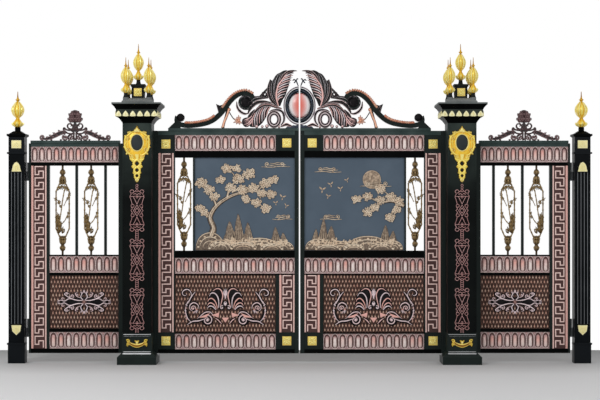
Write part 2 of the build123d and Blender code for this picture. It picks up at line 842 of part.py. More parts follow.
bell_gap = ((420, 34, 16), (340, 40, 14))


def crest_plate(points, depth):
    """A smooth plate of the crest from its points."""
    return plate(smooth([(-px, z_top + pz) for px, pz in points]), depth, leaf_y)


def scroll_body(grow=0.0):
    """The S-shaped bar and its two round eyes, made bigger all round by grow."""
    count = len(scroll_line)
    widths = [scroll_tip + 2 * grow] + [scroll_bar + 2 * grow] * (count - 2) + [scroll_tip + 2 * grow]
    bar = ribbon([(-px, z_top + pz) for px, pz in scroll_line], widths)
    body = plate(bar, scroll_depth + 2 * grow, leaf_y)
    for px, pz, radius in scroll_eyes:
        body += disc(-px, z_top + pz, radius + grow, scroll_depth + 2 * grow, leaf_y)
    return body


def above_coping(shape):
    """Cuts off what would reach down into the coping."""
    return shape - slab(-leaf_edge, 0, leaf_y - leaf_depth, leaf_y + leaf_depth, 0, z_top)


def crest_scroll():
    """Scrolled bar of the crest with its foot and its slanting strut."""
    body = scroll_body()
    body += plate(polygon([(-px, z_top + pz) for px, pz in scroll_foot]), scroll_depth, leaf_y)
    run = [(-strut_foot[0], z_top + strut_foot[1]), (-strut_top[0], z_top + strut_top[1])]
    body += plate(strip(*run, strut), foliage_depth, leaf_y)
    return above_coping(body)


def orb_body(grow=0.0):
    """The whole oval ring of the orb as a plate, made bigger all round by grow."""
    wide, high = orb_half
    depth = orb_ring_depth + 2 * grow
    return oval(0, z_top + orb_level, wide + grow, high + grow, depth, leaf_y)


def crest_foliage():
    """Cast plumes between the scroll and the orb, standing on the coping."""
    shape = crest_plate(upright_plume, foliage_depth)
    shape += crest_plate(low_plume, foliage_depth)
    shape += crest_plate(link_leaf, foliage_depth)
    px, pz, radius = ring_eye
    shape -= disc(-px, z_top + pz, radius, 2 * foliage_depth, leaf_y)
    for px, pz, radius in bell_gap:
        shape -= disc(-px, z_top + pz, radius, 2 * foliage_depth, leaf_y)
    free_edge = slab(-leaf_free, leaf_edge, 0, 2 * leaf_y, z_top, 2 * z_top)
    return above_coping(shape) - scroll_body(seat) - orb_body(seat) - free_edge


def crest_orb():
    """Half of the oval orb: a ring with a domed boss on each face, cut along the gate's middle."""
    wide, high = orb_half[0] - orb_ring, orb_half[1] - orb_ring
    bulge = orb_ring_depth / 2 + orb_bulge
    boss = scale(Sphere(wide), by=(1, bulge / wide, high / wide))
    whole = orb_body() + Pos(0, leaf_y, z_top + orb_level) * boss
    whole += slab(-orb_foot, orb_foot, leaf_y - foliage_depth / 2, leaf_y + foliage_depth / 2, z_top,
                  z_top + orb_level)
    reach = 2 * orb_half[1]
    return whole & slab(-reach, -leaf_free, leaf_y - reach, leaf_y + reach, z_top,
                        z_top + orb_level + reach)


# ---------------------------------------------------------------- side gate
def side_stiles():
    """Upright members and plain bars of the side gate."""
    pieces = [member(side_key_out, side_edge, s_foot, s_coping),
              member(side_field_out, side_key_in, s_foot_band, s_upper_rail),
              member(side_free, side_field_in, s_foot, s_coping)]
    for across in side_bars:
        pieces.append(member(across - bar_width / 2, across + bar_width / 2, s_window, s_upper_rail,
                             bar_width))
    return solids(*pieces)


def side_rails():
    """Level members of the side gate, the top one with its coping."""
    head = member(side_field_in, side_key_out, s_top_rail, s_coping)
    head += member(side_free + side_coping_free_end, side_edge - side_coping_hinge_end, s_coping,
                   s_top, coping_depth)
    return solids(member(side_field_in, side_key_out, s_foot, s_foot_band),
                  member(side_field_in, side_field_out, s_lower_rail, s_lattice),
                  member(side_field_in, side_field_out, s_middle_rail, s_middle_band),
                  member(side_field_in, side_field_out, s_sill, s_window),
                  member(side_field_in, side_key_out, s_upper_rail, s_head_band),
                  head)


def side_petal_bands():
    """Cast petal borders of the side gate."""
    return solids(member(side_field_in, side_field_out, s_foot_band, s_lower_rail, casting_depth),
                  member(side_field_in, side_field_out, s_middle_band, s_sill, casting_depth),
                  member(side_field_in, side_key_out, s_head_band, s_top_rail, casting_depth))


def side_key_border():
    """Cast key border beside the side gate's hinge stile."""
    return member(side_key_in, side_key_out, s_foot_band, s_upper_rail, casting_depth)


def side_lattice():
    """Studded lower panel of the side gate."""
    return member(side_field_in, side_field_out, s_lattice, s_middle_rail, sheet_depth)


def side_ornaments():
    """Scroll ornament in the middle of the side gate's lattice."""
    at = Pos(-(side_field_in + side_field_out) / 2, leaf_y, (s_lattice + s_middle_rail) / 2)
    return solids(*[at * piece for piece in ornament(spray_scrolls, spray_bud)])


def side_balusters():
    """Bamboo balusters in the two wide bays of the side gate's window."""
    near, far = side_bars
    middles = ((side_field_out + near + bar_width / 2) / 2, (near + far) / 2)
    return solids(*[baluster(across, s_window, s_upper_rail) for across in middles])


# side crest, right half: (share of the half width, share of the height)
side_crest_outline = [(0.0, 1.0), (0.13, 0.95), (0.19, 0.80), (0.17, 0.68), (0.2, 0.58), (0.19, 0.48),
                      (0.33, 0.38), (0.32, 0.30), (0.52, 0.24), (0.72, 0.15), (0.86, 0.10),
                      (0.90, 0.20), (0.97, 0.19), (1.0, 0.10), (0.94, 0.0)]


def side_crest():
    """Cast crest of the side gate: a cone of leaves over spreading scrolls."""
    wide, high = side_crest_half, side_crest_height
    right = [(px * wide, pz * high) for px, pz in side_crest_outline]
    left = [(-px, pz) for px, pz in reversed(right[1:])]
    shape = plate(polygon(left + right), side_crest_depth)
    for side in (-1, 1):
        shape -= disc(side * wide * 0.29, high * 0.11, high * 0.055, 2 * side_crest_depth)
        shape -= disc(side * wide * 0.52, high * 0.07, high * 0.04, 2 * side_crest_depth)
    middle = (side_edge + side_free) / 2 + side_crest_shift
    return Pos(-middle, leaf_y, s_top) * shape


# ---------------------------------------------------------------- write the nodes
to_origin = Pos(post_x, 0, 0)

post_nodes = {
    "gate_post_shafts": gate_post_shaft,
    "gate_post_stops": gate_post_stop,
    "gate_post_plinths": gate_post_plinth,
    "gate_post_caps": gate_post_cap,
    "gate_post_crowns": gate_post_crown,
    "post_finials": post_finials,
    "cap_petals": cap_petals,
    "post_gilding": post_gilding,
    "post_trellises": post_trellises,
    "end_post_shafts": end_post_shaft,
    "end_post_caps": end_post_cap,
    "hinge_pins": hinge_pins,
}
leaf_nodes = {
    "leaf_stiles": leaf_stiles,
    "leaf_rails": leaf_rails,
    "leaf_petal_bands": leaf_petal_bands,
    "leaf_key_borders": leaf_key_borders,
    "leaf_blocks": leaf_blocks,
    "leaf_rosettes": leaf_rosettes,
    "leaf_lattice": leaf_lattice,
    "leaf_ornaments": leaf_ornaments,
    "leaf_relief": leaf_relief,
    "leaf_baluster": leaf_baluster,
    "leaf_crest_scroll": crest_scroll,
    "leaf_crest_foliage": crest_foliage,
    "leaf_crest_orb": crest_orb,
    "leaf_knuckles": lambda: leaf_knuckles(leaf_pin, leaf_edge, leaf_hinge_levels),
    "side_stiles": side_stiles,
    "side_rails": side_rails,
    "side_petal_bands": side_petal_bands,
    "side_key_border": side_key_border,
    "side_lattice": side_lattice,
    "side_ornaments": side_ornaments,
    "side_balusters": side_balusters,
    "side_crest": side_crest,
    "side_knuckles": lambda: leaf_knuckles(side_pin, side_edge, side_hinge_levels),
}


def main():
    os.makedirs("parts", exist_ok=True)
    for name, build in post_nodes.items():
        left = build()
        export_step(to_origin * solids(left, mirrored(left)), f"parts/{name}.step")
    for name, build in leaf_nodes.items():
        left = build()
        export_step(to_origin * left, f"parts/left_{name}.step")
        export_step(to_origin * mirrored(left), f"parts/right_{name}.step")


main()
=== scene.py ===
# %% [markdown]
# # A cast driveway gate
# The gate is a pair of tall panelled leaves between two capped posts, with a narrower side gate and a slim
# end post at each end. Its solids come from the part's own model and are loaded here as a fixed frame.
# Everything in this script is then built around that frame: the castings that sit on it, and the paint,
# gilding and rubbed metal that finish it.

# %% Load the frame
import math
import random

import bpy
import numpy as np
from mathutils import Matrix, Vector


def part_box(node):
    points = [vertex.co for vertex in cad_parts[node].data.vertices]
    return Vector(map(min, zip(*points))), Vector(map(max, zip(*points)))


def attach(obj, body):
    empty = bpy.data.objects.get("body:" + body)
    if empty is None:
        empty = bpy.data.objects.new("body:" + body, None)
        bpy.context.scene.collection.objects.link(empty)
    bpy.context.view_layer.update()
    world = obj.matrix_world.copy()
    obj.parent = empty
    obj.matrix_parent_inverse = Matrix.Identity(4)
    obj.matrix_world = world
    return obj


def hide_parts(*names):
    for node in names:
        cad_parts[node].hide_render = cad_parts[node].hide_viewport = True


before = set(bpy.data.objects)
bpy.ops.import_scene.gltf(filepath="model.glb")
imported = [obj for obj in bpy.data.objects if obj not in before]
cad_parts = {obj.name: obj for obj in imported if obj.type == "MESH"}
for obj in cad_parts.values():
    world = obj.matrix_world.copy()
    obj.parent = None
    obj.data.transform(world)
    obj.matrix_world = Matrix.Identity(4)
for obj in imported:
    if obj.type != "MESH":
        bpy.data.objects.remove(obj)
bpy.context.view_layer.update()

# %% [markdown]
# ## Reading places off the frame
# A casting has to sit exactly on the member that carries it. Its place could be typed in, but then it would
# be wrong as soon as the frame changed, so the places of the members are read from the frame instead.
# Several loose members share one node, and the loader splits their edges, so points at the same spot are
# joined by a small union search and each loose member gives a box of its own. Everything is worked in
# millimetres, as a founder would.

# %% Boxes of loose members
MM = 0.001


def node_box(node):
    """Lowest and highest corner of a whole node, in millimetres."""
    low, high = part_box(node)
    return np.array(low) / MM, np.array(high) / MM


def member_boxes(node):
    """A (lowest, highest) corner pair for each loose member of a node, from the bottom up."""
    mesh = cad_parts[node].data
    points = np.array([v.co for v in mesh.vertices]) / MM
    keys, same = np.unique(np.round(points, 2), axis=0, return_inverse=True)
    same = same.ravel()
    leader = list(range(len(keys)))

    def find(n):
        while leader[n] != n:
            leader[n] = leader[leader[n]]
            n = leader[n]
        return n

    for edge in mesh.edges:
        a, b = find(same[edge.vertices[0]]), find(same[edge.vertices[1]])
        leader[a] = b
    groups = {}
    for n in range(len(keys)):
        groups.setdefault(find(n), []).append(n)
    boxes = [(keys[g].min(0), keys[g].max(0)) for g in groups.values()]
    return sorted(boxes, key=lambda box: (round(box[0][2]), round(box[0][0])))


shafts = member_boxes("gate_post_shafts")
post_axes = [(low[0] + high[0]) / 2 for low, high in shafts]
centre_x = sum(post_axes) / 2
leaf_low, leaf_high = node_box("left_leaf_stiles")
leaf_y = (leaf_low[1] + leaf_high[1]) / 2
print("gate's centre line at x", round(centre_x), "and the leaves' middle plane at y", round(leaf_y))

# %% [markdown]
# ## The camera and the light
# The gate is seen square on, from about sixteen and a half metres at eye height, so the camera looks level
# along +Y. A small upward shift brings the horizon below the middle of the picture without tilting the
# posts. The world is white for the rays that the camera and the gloss see, and softer for the rays that
# light the gate, so that the background is white and the dark enamel stays dark. Two broad lamps model the
# castings from the upper left and the right.

# %% Camera
viewing_distance = 16.5
eye_height = 1.5
camera_data = bpy.data.cameras.new("camera")
camera_data.sensor_width = 36
camera_data.lens = 94.3
camera_data.shift_x = 0.0008
camera_data.shift_y = 0.0327
camera = bpy.data.objects.new("camera", camera_data)
camera.location = (centre_x * MM, leaf_low[1] * MM - viewing_distance, eye_height)
camera.rotation_euler = (math.pi / 2, 0, 0)
bpy.context.scene.collection.objects.link(camera)
bpy.context.scene.camera = camera
bpy.context.scene.view_settings.view_transform = "Standard"
print("camera at", [round(c, 2) for c in camera.location])

# %% White background and soft daylight
def wire(tree, node, **inputs):
    """Wires inputs to other nodes' outputs, or sets them. An underscore in a name stands for a space."""
    for name, value in inputs.items():
        socket = node.inputs[name.replace("_", " ")]
        if isinstance(value, bpy.types.NodeSocket):
            tree.links.new(value, socket)
        else:
            socket.default_value = value
    return node


def add_node(tree, kind, **inputs):
    """A new node of a kind, with its inputs wired or set."""
    return wire(tree, tree.nodes.new("ShaderNode" + kind), **inputs)


def combined(tree, operation, first, second):
    """Two values put together by an operation."""
    node = add_node(tree, "Math")
    node.operation = operation
    tree.links.new(first, node.inputs[0])
    tree.links.new(second, node.inputs[1])
    return node.outputs[0]


world = bpy.data.worlds.new("studio")
bpy.context.scene.world = world
world.use_nodes = True
tree = world.node_tree
tree.nodes.clear()
rays = add_node(tree, "LightPath").outputs
seen_or_mirrored = combined(tree, "MAXIMUM", rays["Is Camera Ray"], rays["Is Glossy Ray"])
white = combined(tree, "MAXIMUM", seen_or_mirrored, rays["Is Transmission Ray"])
strength = add_node(tree, "MapRange", Value=white, To_Min=0.5, To_Max=1.0).outputs[0]
background = add_node(tree, "Background", Color=(1, 1, 1, 1), Strength=strength)
add_node(tree, "OutputWorld", Surface=background.outputs[0])


def add_lamp(name, place, target, width, watts):
    """A square soft box that looks from its place at its target."""
    data = bpy.data.lights.new(name, "AREA")
    data.size = width
    data.energy = watts
    lamp = bpy.data.objects.new(name, data)
    lamp.location = place
    aim = Vector(target) - Vector(place)
    lamp.rotation_euler = aim.to_track_quat("-Z", "Y").to_euler()
    bpy.context.scene.collection.objects.link(lamp)
    return lamp


gate_middle = (centre_x * MM, 0, 1.4)
add_lamp("key_lamp", (centre_x * MM - 5, -8, 7), gate_middle, 2.2, 250)
add_lamp("fill_lamp", (centre_x * MM + 7, -9, 4), gate_middle, 4.0, 85)

# %% [markdown]
# ## The floor
# A pale floor runs in front of the gate and ends a little behind it, so that a band of grey shows under the
# gate and white above. Its colour is a soft ramp along Y in its own coordinates, a little lighter towards
# the front, with a faint fine grain, and it keeps the gate's soft shadow.

# %% Floor
floor_mesh = bpy.data.meshes.new("floor")
floor_behind_leaves = 1.57
floor_back = leaf_low[1] * MM + floor_behind_leaves
floor_front, floor_reach = -14.0, 16.0
corners = [(-floor_reach, floor_front), (floor_reach, floor_front), (floor_reach, floor_back),
           (-floor_reach, floor_back)]
floor_mesh.from_pydata([(centre_x * MM + x, y, 0) for x, y in corners], [], [(0, 1, 2, 3)])
floor = bpy.data.objects.new("floor", floor_mesh)
bpy.context.scene.collection.objects.link(floor)

# %% [markdown]
# ## Finishes
# A painted casting is never one flat colour: the paint pools in the hollows, the high places are rubbed
# back to bright metal, and the foundry sand leaves a fine grain under the gloss. Image textures could show
# this, but they need unwrapped surfaces. Here every finish is a small node tree instead. Each point of a
# casting carries two numbers, "rub" (0 in the hollows, 1 on the crests) and "tone" (a little different from
# piece to piece), and the nodes turn them into colour and gloss, broken up by noise in the piece's own
# coordinates.
# On the petals and the orb's ball, the two numbers also carry painted shade and a painted highlight.

# %% Colour helper
def rgb(red, green, blue):
    """A colour given as 0 to 255 values on a screen, as the linear colour that the shader wants."""
    linear = [((c / 255 + 0.055) / 1.055) ** 2.4 if c > 10 else c / 255 / 12.92 for c in (red, green, blue)]
    return (*linear, 1.0)


# %% Building blocks of the finishes
def new_finish(name):
    """An empty finish: the material, its tree of nodes and its shader."""
    material = bpy.data.materials.new(name)
    material.use_nodes = True
    return material, material.node_tree, material.node_tree.nodes["Principled BSDF"]


def own_place(tree):
    """Where a point is, in the piece's own coordinates."""
    return add_node(tree, "TexCoord").outputs["Object"]


def noise(tree, scale, detail=3.0):
    """Noise in the piece's own coordinates."""
    return add_node(tree, "TexNoise", Vector=own_place(tree), Scale=scale, Detail=detail).outputs["Fac"]


def fine_grain(tree, scale, depth, amount):
    """A fine grain for the surface, as deep as its depth in metres."""
    height = noise(tree, scale, 2.0)
    return add_node(tree, "Bump", Strength=amount, Distance=depth, Height=height).outputs["Normal"]


def ramp(tree, factor, stops):
    """Colours along a factor, from (position, colour) stops."""
    node = add_node(tree, "ValToRGB", Fac=factor)
    elements = node.color_ramp.elements
    while len(elements) < len(stops):
        elements.new(0.5)
    for element, (position, colour) in zip(elements, stops):
        element.position = position
        element.color = colour
    return node.outputs["Color"]


def mixed(tree, factor, first, second, blend="MIX"):
    """Two colours mixed by a factor."""
    node = add_node(tree, "Mix")
    node.data_type, node.blend_type = "RGBA", blend
    wire(tree, node, Factor=factor)
    for name, colour in (("A", first), ("B", second)):
        socket = next(s for s in node.inputs if s.name == name and s.type == "RGBA")
        if isinstance(colour, tuple):
            socket.default_value = colour
        else:
            tree.links.new(colour, socket)
    return next(s for s in node.outputs if s.type == "RGBA")


def scaled(tree, value, low, high, from_low=0.0, from_high=1.0):
    """A value moved from one range to another."""
    return add_node(tree, "MapRange", Value=value, From_Min=from_low, From_Max=from_high, To_Min=low,
                    To_Max=high).outputs[0]


def carried(tree, name):
    """A number that the casting's points carry."""
    node = add_node(tree, "Attribute")
    node.attribute_name = name
    return node.outputs["Fac"]


# %% Enamel, for what is one colour all over
def enamel(name, deep, pale, roughness, specular=0.5, metallic=0.0):
    """Brushed enamel over cast metal: two near colours in slow patches, lighter along the arrises as wear
    and as a painted highlight.
    """
    material, tree, shader = new_finish(name)
    deep, pale = rgb(*deep), rgb(*pale)
    patches = ramp(tree, noise(tree, 4.0), [(0.35, deep), (0.7, pale)])
    # the arrises are lightened by pointiness: partly wear, partly a painted highlight on the edges
    wear_and_edge_highlight = scaled(tree, add_node(tree, "NewGeometry").outputs["Pointiness"], 0.0, 0.35, 0.53, 0.6)
    lighter = tuple(min(1.0, 2.5 * c + 0.01) for c in pale[:3]) + (1.0,)
    gloss = scaled(tree, noise(tree, 22.0), roughness - 0.08, roughness + 0.1)
    wire(tree, shader, Base_Color=mixed(tree, wear_and_edge_highlight, patches, lighter), Roughness=gloss, Metallic=metallic,
         Specular_IOR_Level=specular, Normal=fine_grain(tree, 260.0, 0.0006, 0.35))
    return material


# %% Rubbed finish, for castings with relief
def rubbed(name, hollow, middle, crest, other_crest, roughness=0.42, metallic=0.25, start=0.25, end=0.85,
           specular=0.5):
    """Dark paint left in the hollows and rubbed back to bright metal on the crests. On some castings the
    rub and tone also carry painted shade and a painted highlight.
    """
    material, tree, shader = new_finish(name)
    hollow, middle, crest, other_crest = [rgb(*c) for c in (hollow, middle, crest, other_crest)]
    blotches = scaled(tree, noise(tree, 45.0), -0.14, 0.14, 0.3, 0.7)
    height = combined(tree, "ADD", carried(tree, "rub"), blotches)
    bright = mixed(tree, carried(tree, "tone"), crest, other_crest)
    dark = ramp(tree, height, [(start * 0.4, hollow), (start + 0.25 * (end - start), middle)])
    lift = scaled(tree, height, 0.0, 1.0, start + 0.3 * (end - start), end)
    gloss = scaled(tree, height, roughness + 0.15, roughness - 0.08)
    wire(tree, shader, Base_Color=mixed(tree, lift, dark, bright), Roughness=gloss, Metallic=metallic,
         Specular_IOR_Level=specular, Normal=fine_grain(tree, 300.0, 0.0005, 0.4))
    return material


# %% Mix the finishes
end_enamel = enamel("end_enamel", (3, 6, 9), (10, 14, 18), 0.34, 0.06)
green_enamel = enamel("green_enamel", (10, 16, 15), (24, 32, 30), 0.34, 0.08)
slate_enamel = enamel("slate_enamel", (62, 74, 86), (76, 88, 100), 0.55, 0.12)
silver_trim = enamel("silver_trim", (150, 152, 156), (196, 198, 202), 0.32, 0.5, 0.85)
eye_slate = enamel("eye_slate", (38, 44, 46), (58, 64, 66), 0.4, 0.1)
dull_steel = enamel("dull_steel", (70, 73, 75), (104, 107, 110), 0.38, 0.5, 0.9)
gilding = rubbed("gilding", (140, 84, 2), (244, 190, 20), (255, 228, 70), (255, 244, 160), 0.34, 0.2)
pale_gilding = rubbed("pale_gilding", (190, 160, 80), (252, 240, 170), (255, 246, 184),
                      (255, 252, 212), 0.4, 0.1)
# petal_copper's near-white second crest colour is also the painted highlight at the petals' feet
petal_copper = rubbed("petal_copper", (84, 50, 46), (184, 146, 144), (242, 152, 132), (255, 240, 234),
                      0.42, 0.1)
key_copper = rubbed("key_copper", (66, 40, 38), (214, 162, 154), (255, 234, 226), (250, 190, 178), 0.42,
                    0.1)
lattice_brown = rubbed("lattice_brown", (58, 38, 34), (132, 92, 78), (255, 226, 204), (244, 192, 170),
                       0.45, 0.05, 0.1, 0.75)
rubbed_black = rubbed("rubbed_black", (7, 6, 8), (32, 27, 30), (244, 230, 236), (250, 186, 172),
                      0.42, 0.1, 0.3, 0.75, 0.12)
trellis_copper = rubbed("trellis_copper", (14, 5, 7), (96, 54, 58), (242, 196, 192), (222, 166, 162),
                        0.42, 0.1, specular=0.1)
tan_relief = rubbed("tan_relief", (26, 20, 20), (122, 104, 88), (252, 234, 208), (228, 200, 170),
                    0.55, 0.05, 0.32, 0.82)
antique_bronze = rubbed("antique_bronze", (30, 22, 12), (84, 66, 40), (152, 128, 86),
                        (122, 98, 60), 0.4, 0.6)
crest_copper = rubbed("crest_copper", (8, 6, 8), (66, 50, 54), (250, 200, 194), (250, 244, 248),
                      0.4, 0.1, 0.36, 0.8, 0.3)
scale_copper = rubbed("scale_copper", (50, 24, 18), (150, 84, 62), (232, 150, 118), (240, 190, 160))
side_crest_bronze = rubbed("side_crest_bronze", (24, 16, 18), (74, 56, 58), (150, 122, 122),
                           (118, 90, 92), 0.42, 0.1)
orb_ring = rubbed("orb_ring", (16, 22, 32), (44, 58, 78), (216, 196, 204), (216, 196, 204), 0.25)
orb_blue = rubbed("orb_blue", (8, 12, 18), (24, 34, 46), (96, 122, 152), (96, 122, 152), 0.25)
# orb_salmon's near-white second crest colour is the painted reflection on the orb's ball
orb_salmon = rubbed("orb_salmon", (70, 30, 34), (214, 100, 90), (238, 116, 100), (255, 250, 250),
                    0.3, 0.0, 0.1, 0.5)
petal_ground = enamel("petal_ground", (128, 104, 106), (160, 134, 136), 0.5, 0.15)
key_ground = enamel("key_ground", (48, 32, 30), (72, 50, 48), 0.5, 0.15)
lattice_ground = enamel("lattice_ground", (42, 30, 27), (62, 45, 40), 0.5, 0.1)
print(len(bpy.data.materials), "finishes mixed")

# %% Finishes that change with the height
def banded(name, bands, specular):
    """Enamel that changes with the height. A band is (level where it starts, fade length, deep, pale)."""
    material, tree, shader = new_finish(name)
    here = add_node(tree, "SeparateXYZ", Vector=own_place(tree)).outputs["Z"]
    patches = noise(tree, 5.0)
    colour = None
    for level, fade, deep, pale in bands:
        own = ramp(tree, patches, [(0.3, rgb(*deep)), (0.7, rgb(*pale))])
        above = scaled(tree, here, 0.0, 1.0, level, level + fade)
        colour = mixed(tree, above, colour, own) if colour else own
    wire(tree, shader, Base_Color=colour, Roughness=0.42, Specular_IOR_Level=specular,
         Normal=fine_grain(tree, 260.0, 0.0006, 0.35))
    return material


blacks = ((2, 3, 3), (6, 8, 8))
sharp_edge = 0.002
roof_height, edge_height = 0.057, 0.016
roof_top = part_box("gate_post_crowns")[0][2] + roof_height
roof_enamel = banded("roof_enamel", [(0, sharp_edge, (104, 108, 108), (136, 140, 140)),
                                     (roof_top, sharp_edge, (12, 15, 15), (20, 24, 24))], 0.1)
# The rail finish is black below head_level and grey above it: painted light on the head rails and copings,
# which catch the light from above.
head_level = 2.24
rail_enamel = banded("rail_enamel", [(0, sharp_edge, *blacks),
                                     (head_level, sharp_edge, (54, 68, 66), (74, 88, 86))], 0.03)
# The cap finish paints light and shade by height: the black bands on the splays below and above the frieze
# are painted shade where they face down, and the grey frieze and top edge are painted light.
frieze_foot, frieze_head = 2.565, 2.637
cap_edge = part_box("gate_post_caps")[1][2] - edge_height
cap_enamel = banded("cap_enamel", [(0, sharp_edge, *blacks),
                                   (frieze_foot, sharp_edge, (44, 50, 46), (64, 70, 66)),
                                   (frieze_head, sharp_edge, *blacks),
                                   (cap_edge, sharp_edge, (92, 98, 96), (120, 126, 124))], 0.03)
# The shaft finish turns paler from paler_from upwards: a painted highlight near the head of the shaft,
# under the cap.
paler_from, paler_over = 1.7, 0.75
shaft_enamel = banded("shaft_enamel", [(0, sharp_edge, (5, 8, 8), (14, 18, 17)),
                                       (paler_from, paler_over, (42, 50, 48), (62, 72, 68))], 0.06)

# %% Floor colour
floor_finish, tree, shader = new_finish("floor_paint")
depth = add_node(tree, "SeparateXYZ", Vector=own_place(tree)).outputs["Y"]
nearness = scaled(tree, depth, 0.0, 1.0, floor_back, -1.2)
grey = ramp(tree, nearness, [(0.0, rgb(171, 172, 172)), (1.0, rgb(246, 246, 247))])
speckle = ramp(tree, noise(tree, 90.0), [(0.3, rgb(244, 244, 244)), (0.7, (1, 1, 1, 1))])
wire(tree, shader, Base_Color=mixed(tree, 1.0, grey, speckle, "MULTIPLY"), Roughness=0.8,
     Specular_IOR_Level=0.1)
floor_mesh.materials.append(floor_finish)

# %% [markdown]
# ## Painting the frame
# The members of the frame already have the right shape, so they stay and only take a finish. Which one it
# is follows from the ending of the member's name, and where several endings fit the longest one counts.

# %% Paint the members
def paint(node, finish):
    """Gives one member of the frame its finish."""
    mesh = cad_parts[node].data
    mesh.materials.clear()
    mesh.materials.append(finish)


endings_by_finish = (
    (shaft_enamel, "shafts"), (end_enamel, "end_post_shafts"), (cap_enamel, "caps"),
    (roof_enamel, "crowns"), (green_enamel, "plinths stiles blocks stops crest_scroll"),
    (rail_enamel, "rails"), (gilding, "finials gilding rosettes"), (pale_gilding, "petals"),
    (trellis_copper, "trellises"), (dull_steel, "pins knuckles"), (petal_ground, "petal_bands"),
    (key_ground, "key_borders key_border"), (lattice_ground, "lattice"), (rubbed_black, "ornaments"),
    (slate_enamel, "relief"), (antique_bronze, "baluster balusters"), (crest_copper, "crest_foliage"),
    (orb_salmon, "crest_orb"), (side_crest_bronze, "side_crest"))
frame_finishes = {ending: finish for finish, endings in endings_by_finish for ending in endings.split()}
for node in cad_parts:
    ending = max((e for e in frame_finishes if node.endswith(e)), key=len)
    paint(node, frame_finishes[ending])
print(len(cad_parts), "members painted")

# %% [markdown]
# ## Tools for shaping castings
# The ornament of the gate is made of a few kinds of form that come back everywhere: a bar swept along a
# curved line, a soft dome over an outline, a plate with bevelled edges, a turned shape and a round rod.
# Curve objects could make some of them, but a casting also needs its rub and tone values point by point, so
# each form is built here as points and faces. A casting is drawn once, in a flat picture of the gate:
# "across" from the gate's centre line, "up" from the ground and "out" from the leaf's middle plane. It is
# then placed on either half of the gate and on either face.

# %% A casting
class Casting:
    """Points (across, up, out), faces, and the rub and tone of every point."""

    def __init__(self):
        self.points, self.faces, self.rub, self.tone = [], [], [], []

    def add(self, points, faces, rub, tone=0.5):
        """Adds a form to the casting."""
        first = len(self.points)
        self.points += [tuple(p) for p in points]
        self.faces += [tuple(first + n for n in face) for face in faces]
        self.rub += list(rub)
        self.tone += [tone] * len(points)

    def stamp(self, other, across=0.0, up=0.0, out=0.0, turn=0.0, size=1.0, flip=1, tone=None):
        """Adds a copy of another casting: mirrored if flip is -1, resized, turned and moved."""
        c, s = math.cos(math.radians(turn)) * size, math.sin(math.radians(turn)) * size
        p = np.array(other.points) * (flip, 1, 1)
        moved = np.stack([across + p[:, 0] * c - p[:, 1] * s, up + p[:, 0] * s + p[:, 1] * c,
                          out + p[:, 2] * size], 1)
        first = len(self.points)
        self.points += [tuple(q) for q in moved]
        self.faces += [tuple(first + n for n in (face if flip > 0 else face[::-1])) for face in other.faces]
        self.rub += other.rub
        self.tone += other.tone if tone is None else [tone] * len(other.tone)

    def remade(self, move, inside_out=False):
        """A copy with every point moved by a rule. A rule that mirrors turns the faces inside out."""
        made = Casting()
        faces = [face[::-1] for face in self.faces] if inside_out else self.faces
        made.add([move(*point) for point in self.points], faces, self.rub)
        made.tone = list(self.tone)
        return made


# %% Smooth lines
def smooth_line(points, steps=6, closed=False):
    """Points along a smooth line through the given ones."""
    p = np.array(points, float)
    if closed:
        p = np.vstack([p[-1:], p, p[:2]])
    else:
        p = np.vstack([2 * p[:1] - p[1:2], p, 2 * p[-1:] - p[-2:-1]])
    line = []
    for a, b, c, d in zip(p, p[1:], p[2:], p[3:]):
        for n in range(steps):
            t = n / steps
            line.append(0.5 * (2 * b + (c - a) * t + (2 * a - 5 * b + 4 * c - d) * t ** 2
                               + (3 * b - a - 3 * c + d) * t ** 3))
    return np.array(line if closed else line + [p[-2]])


def spiral(centre, radius, start, turns, inner=0.25, steps=14):
    """Points of a curl that winds in from its radius to the inner share of it. Angles are in degrees."""
    count = max(4, int(steps * abs(turns)))
    line = []
    for n in range(count + 1):
        t = n / count
        angle = math.radians(start + 360 * turns * t)
        r = radius * (1 - (1 - inner) * t)
        line.append((centre[0] + r * math.cos(angle), centre[1] + r * math.sin(angle)))
    return line


# %% Swept bars
# each section lists (share of the half width, share of the height, rub) from one edge over the top to the
# other
ROUND = [(-1, 0, 0.1), (-0.85, 0.55, 0.4), (-0.45, 0.92, 0.85), (0, 1, 1), (0.45, 0.92, 0.85),
         (0.85, 0.55, 0.4), (1, 0, 0.1)]
SLIM = [(-1, 0, 0.1), (-0.68, 0.75, 0.62), (0, 1, 1), (0.68, 0.75, 0.62), (1, 0, 0.1)]
THIN = [(-1, 0, 0.1), (-0.55, 0.95, 0.9), (0.55, 0.95, 0.9), (1, 0, 0.1)]
GUTTER = [(-1, 0, 0.2), (-0.9, 0.9, 0.9), (-0.66, 1, 1), (-0.4, 0.45, 0.05), (0.4, 0.45, 0.05),
          (0.66, 1, 1), (0.9, 0.9, 0.9), (1, 0, 0.2)]
RIDGE = [(-1, 0, 0.1), (-0.5, 0.4, 0.3), (0, 1, 1), (0.5, 0.4, 0.3), (1, 0, 0.1)]
FLAT = [(-1, 0, 0.3), (-0.78, 1, 0.95), (0.78, 1, 0.95), (1, 0, 0.3)]
EDGED = [(-1, 0, 0.2), (-0.92, 0.9, 0.9), (-0.8, 1, 1), (-0.7, 0.8, 0.1), (0.7, 0.8, 0.1), (0.8, 1, 1),
         (0.92, 0.9, 0.9), (1, 0, 0.2)]
# a round bar narrower than these takes a section with fewer points
slim_bar, thin_bar = 17.0, 9.0


def ring_faces(first, count):
    """Four-sided faces between a ring of points and the next ring of as many."""
    return [(first + j, first + (j + 1) % count, first + count + (j + 1) % count, first + count + j)
            for j in range(count)]


def unit(vectors):
    """The vectors with a length of one."""
    return vectors / np.maximum(np.linalg.norm(vectors, axis=1, keepdims=True), 1e-9)


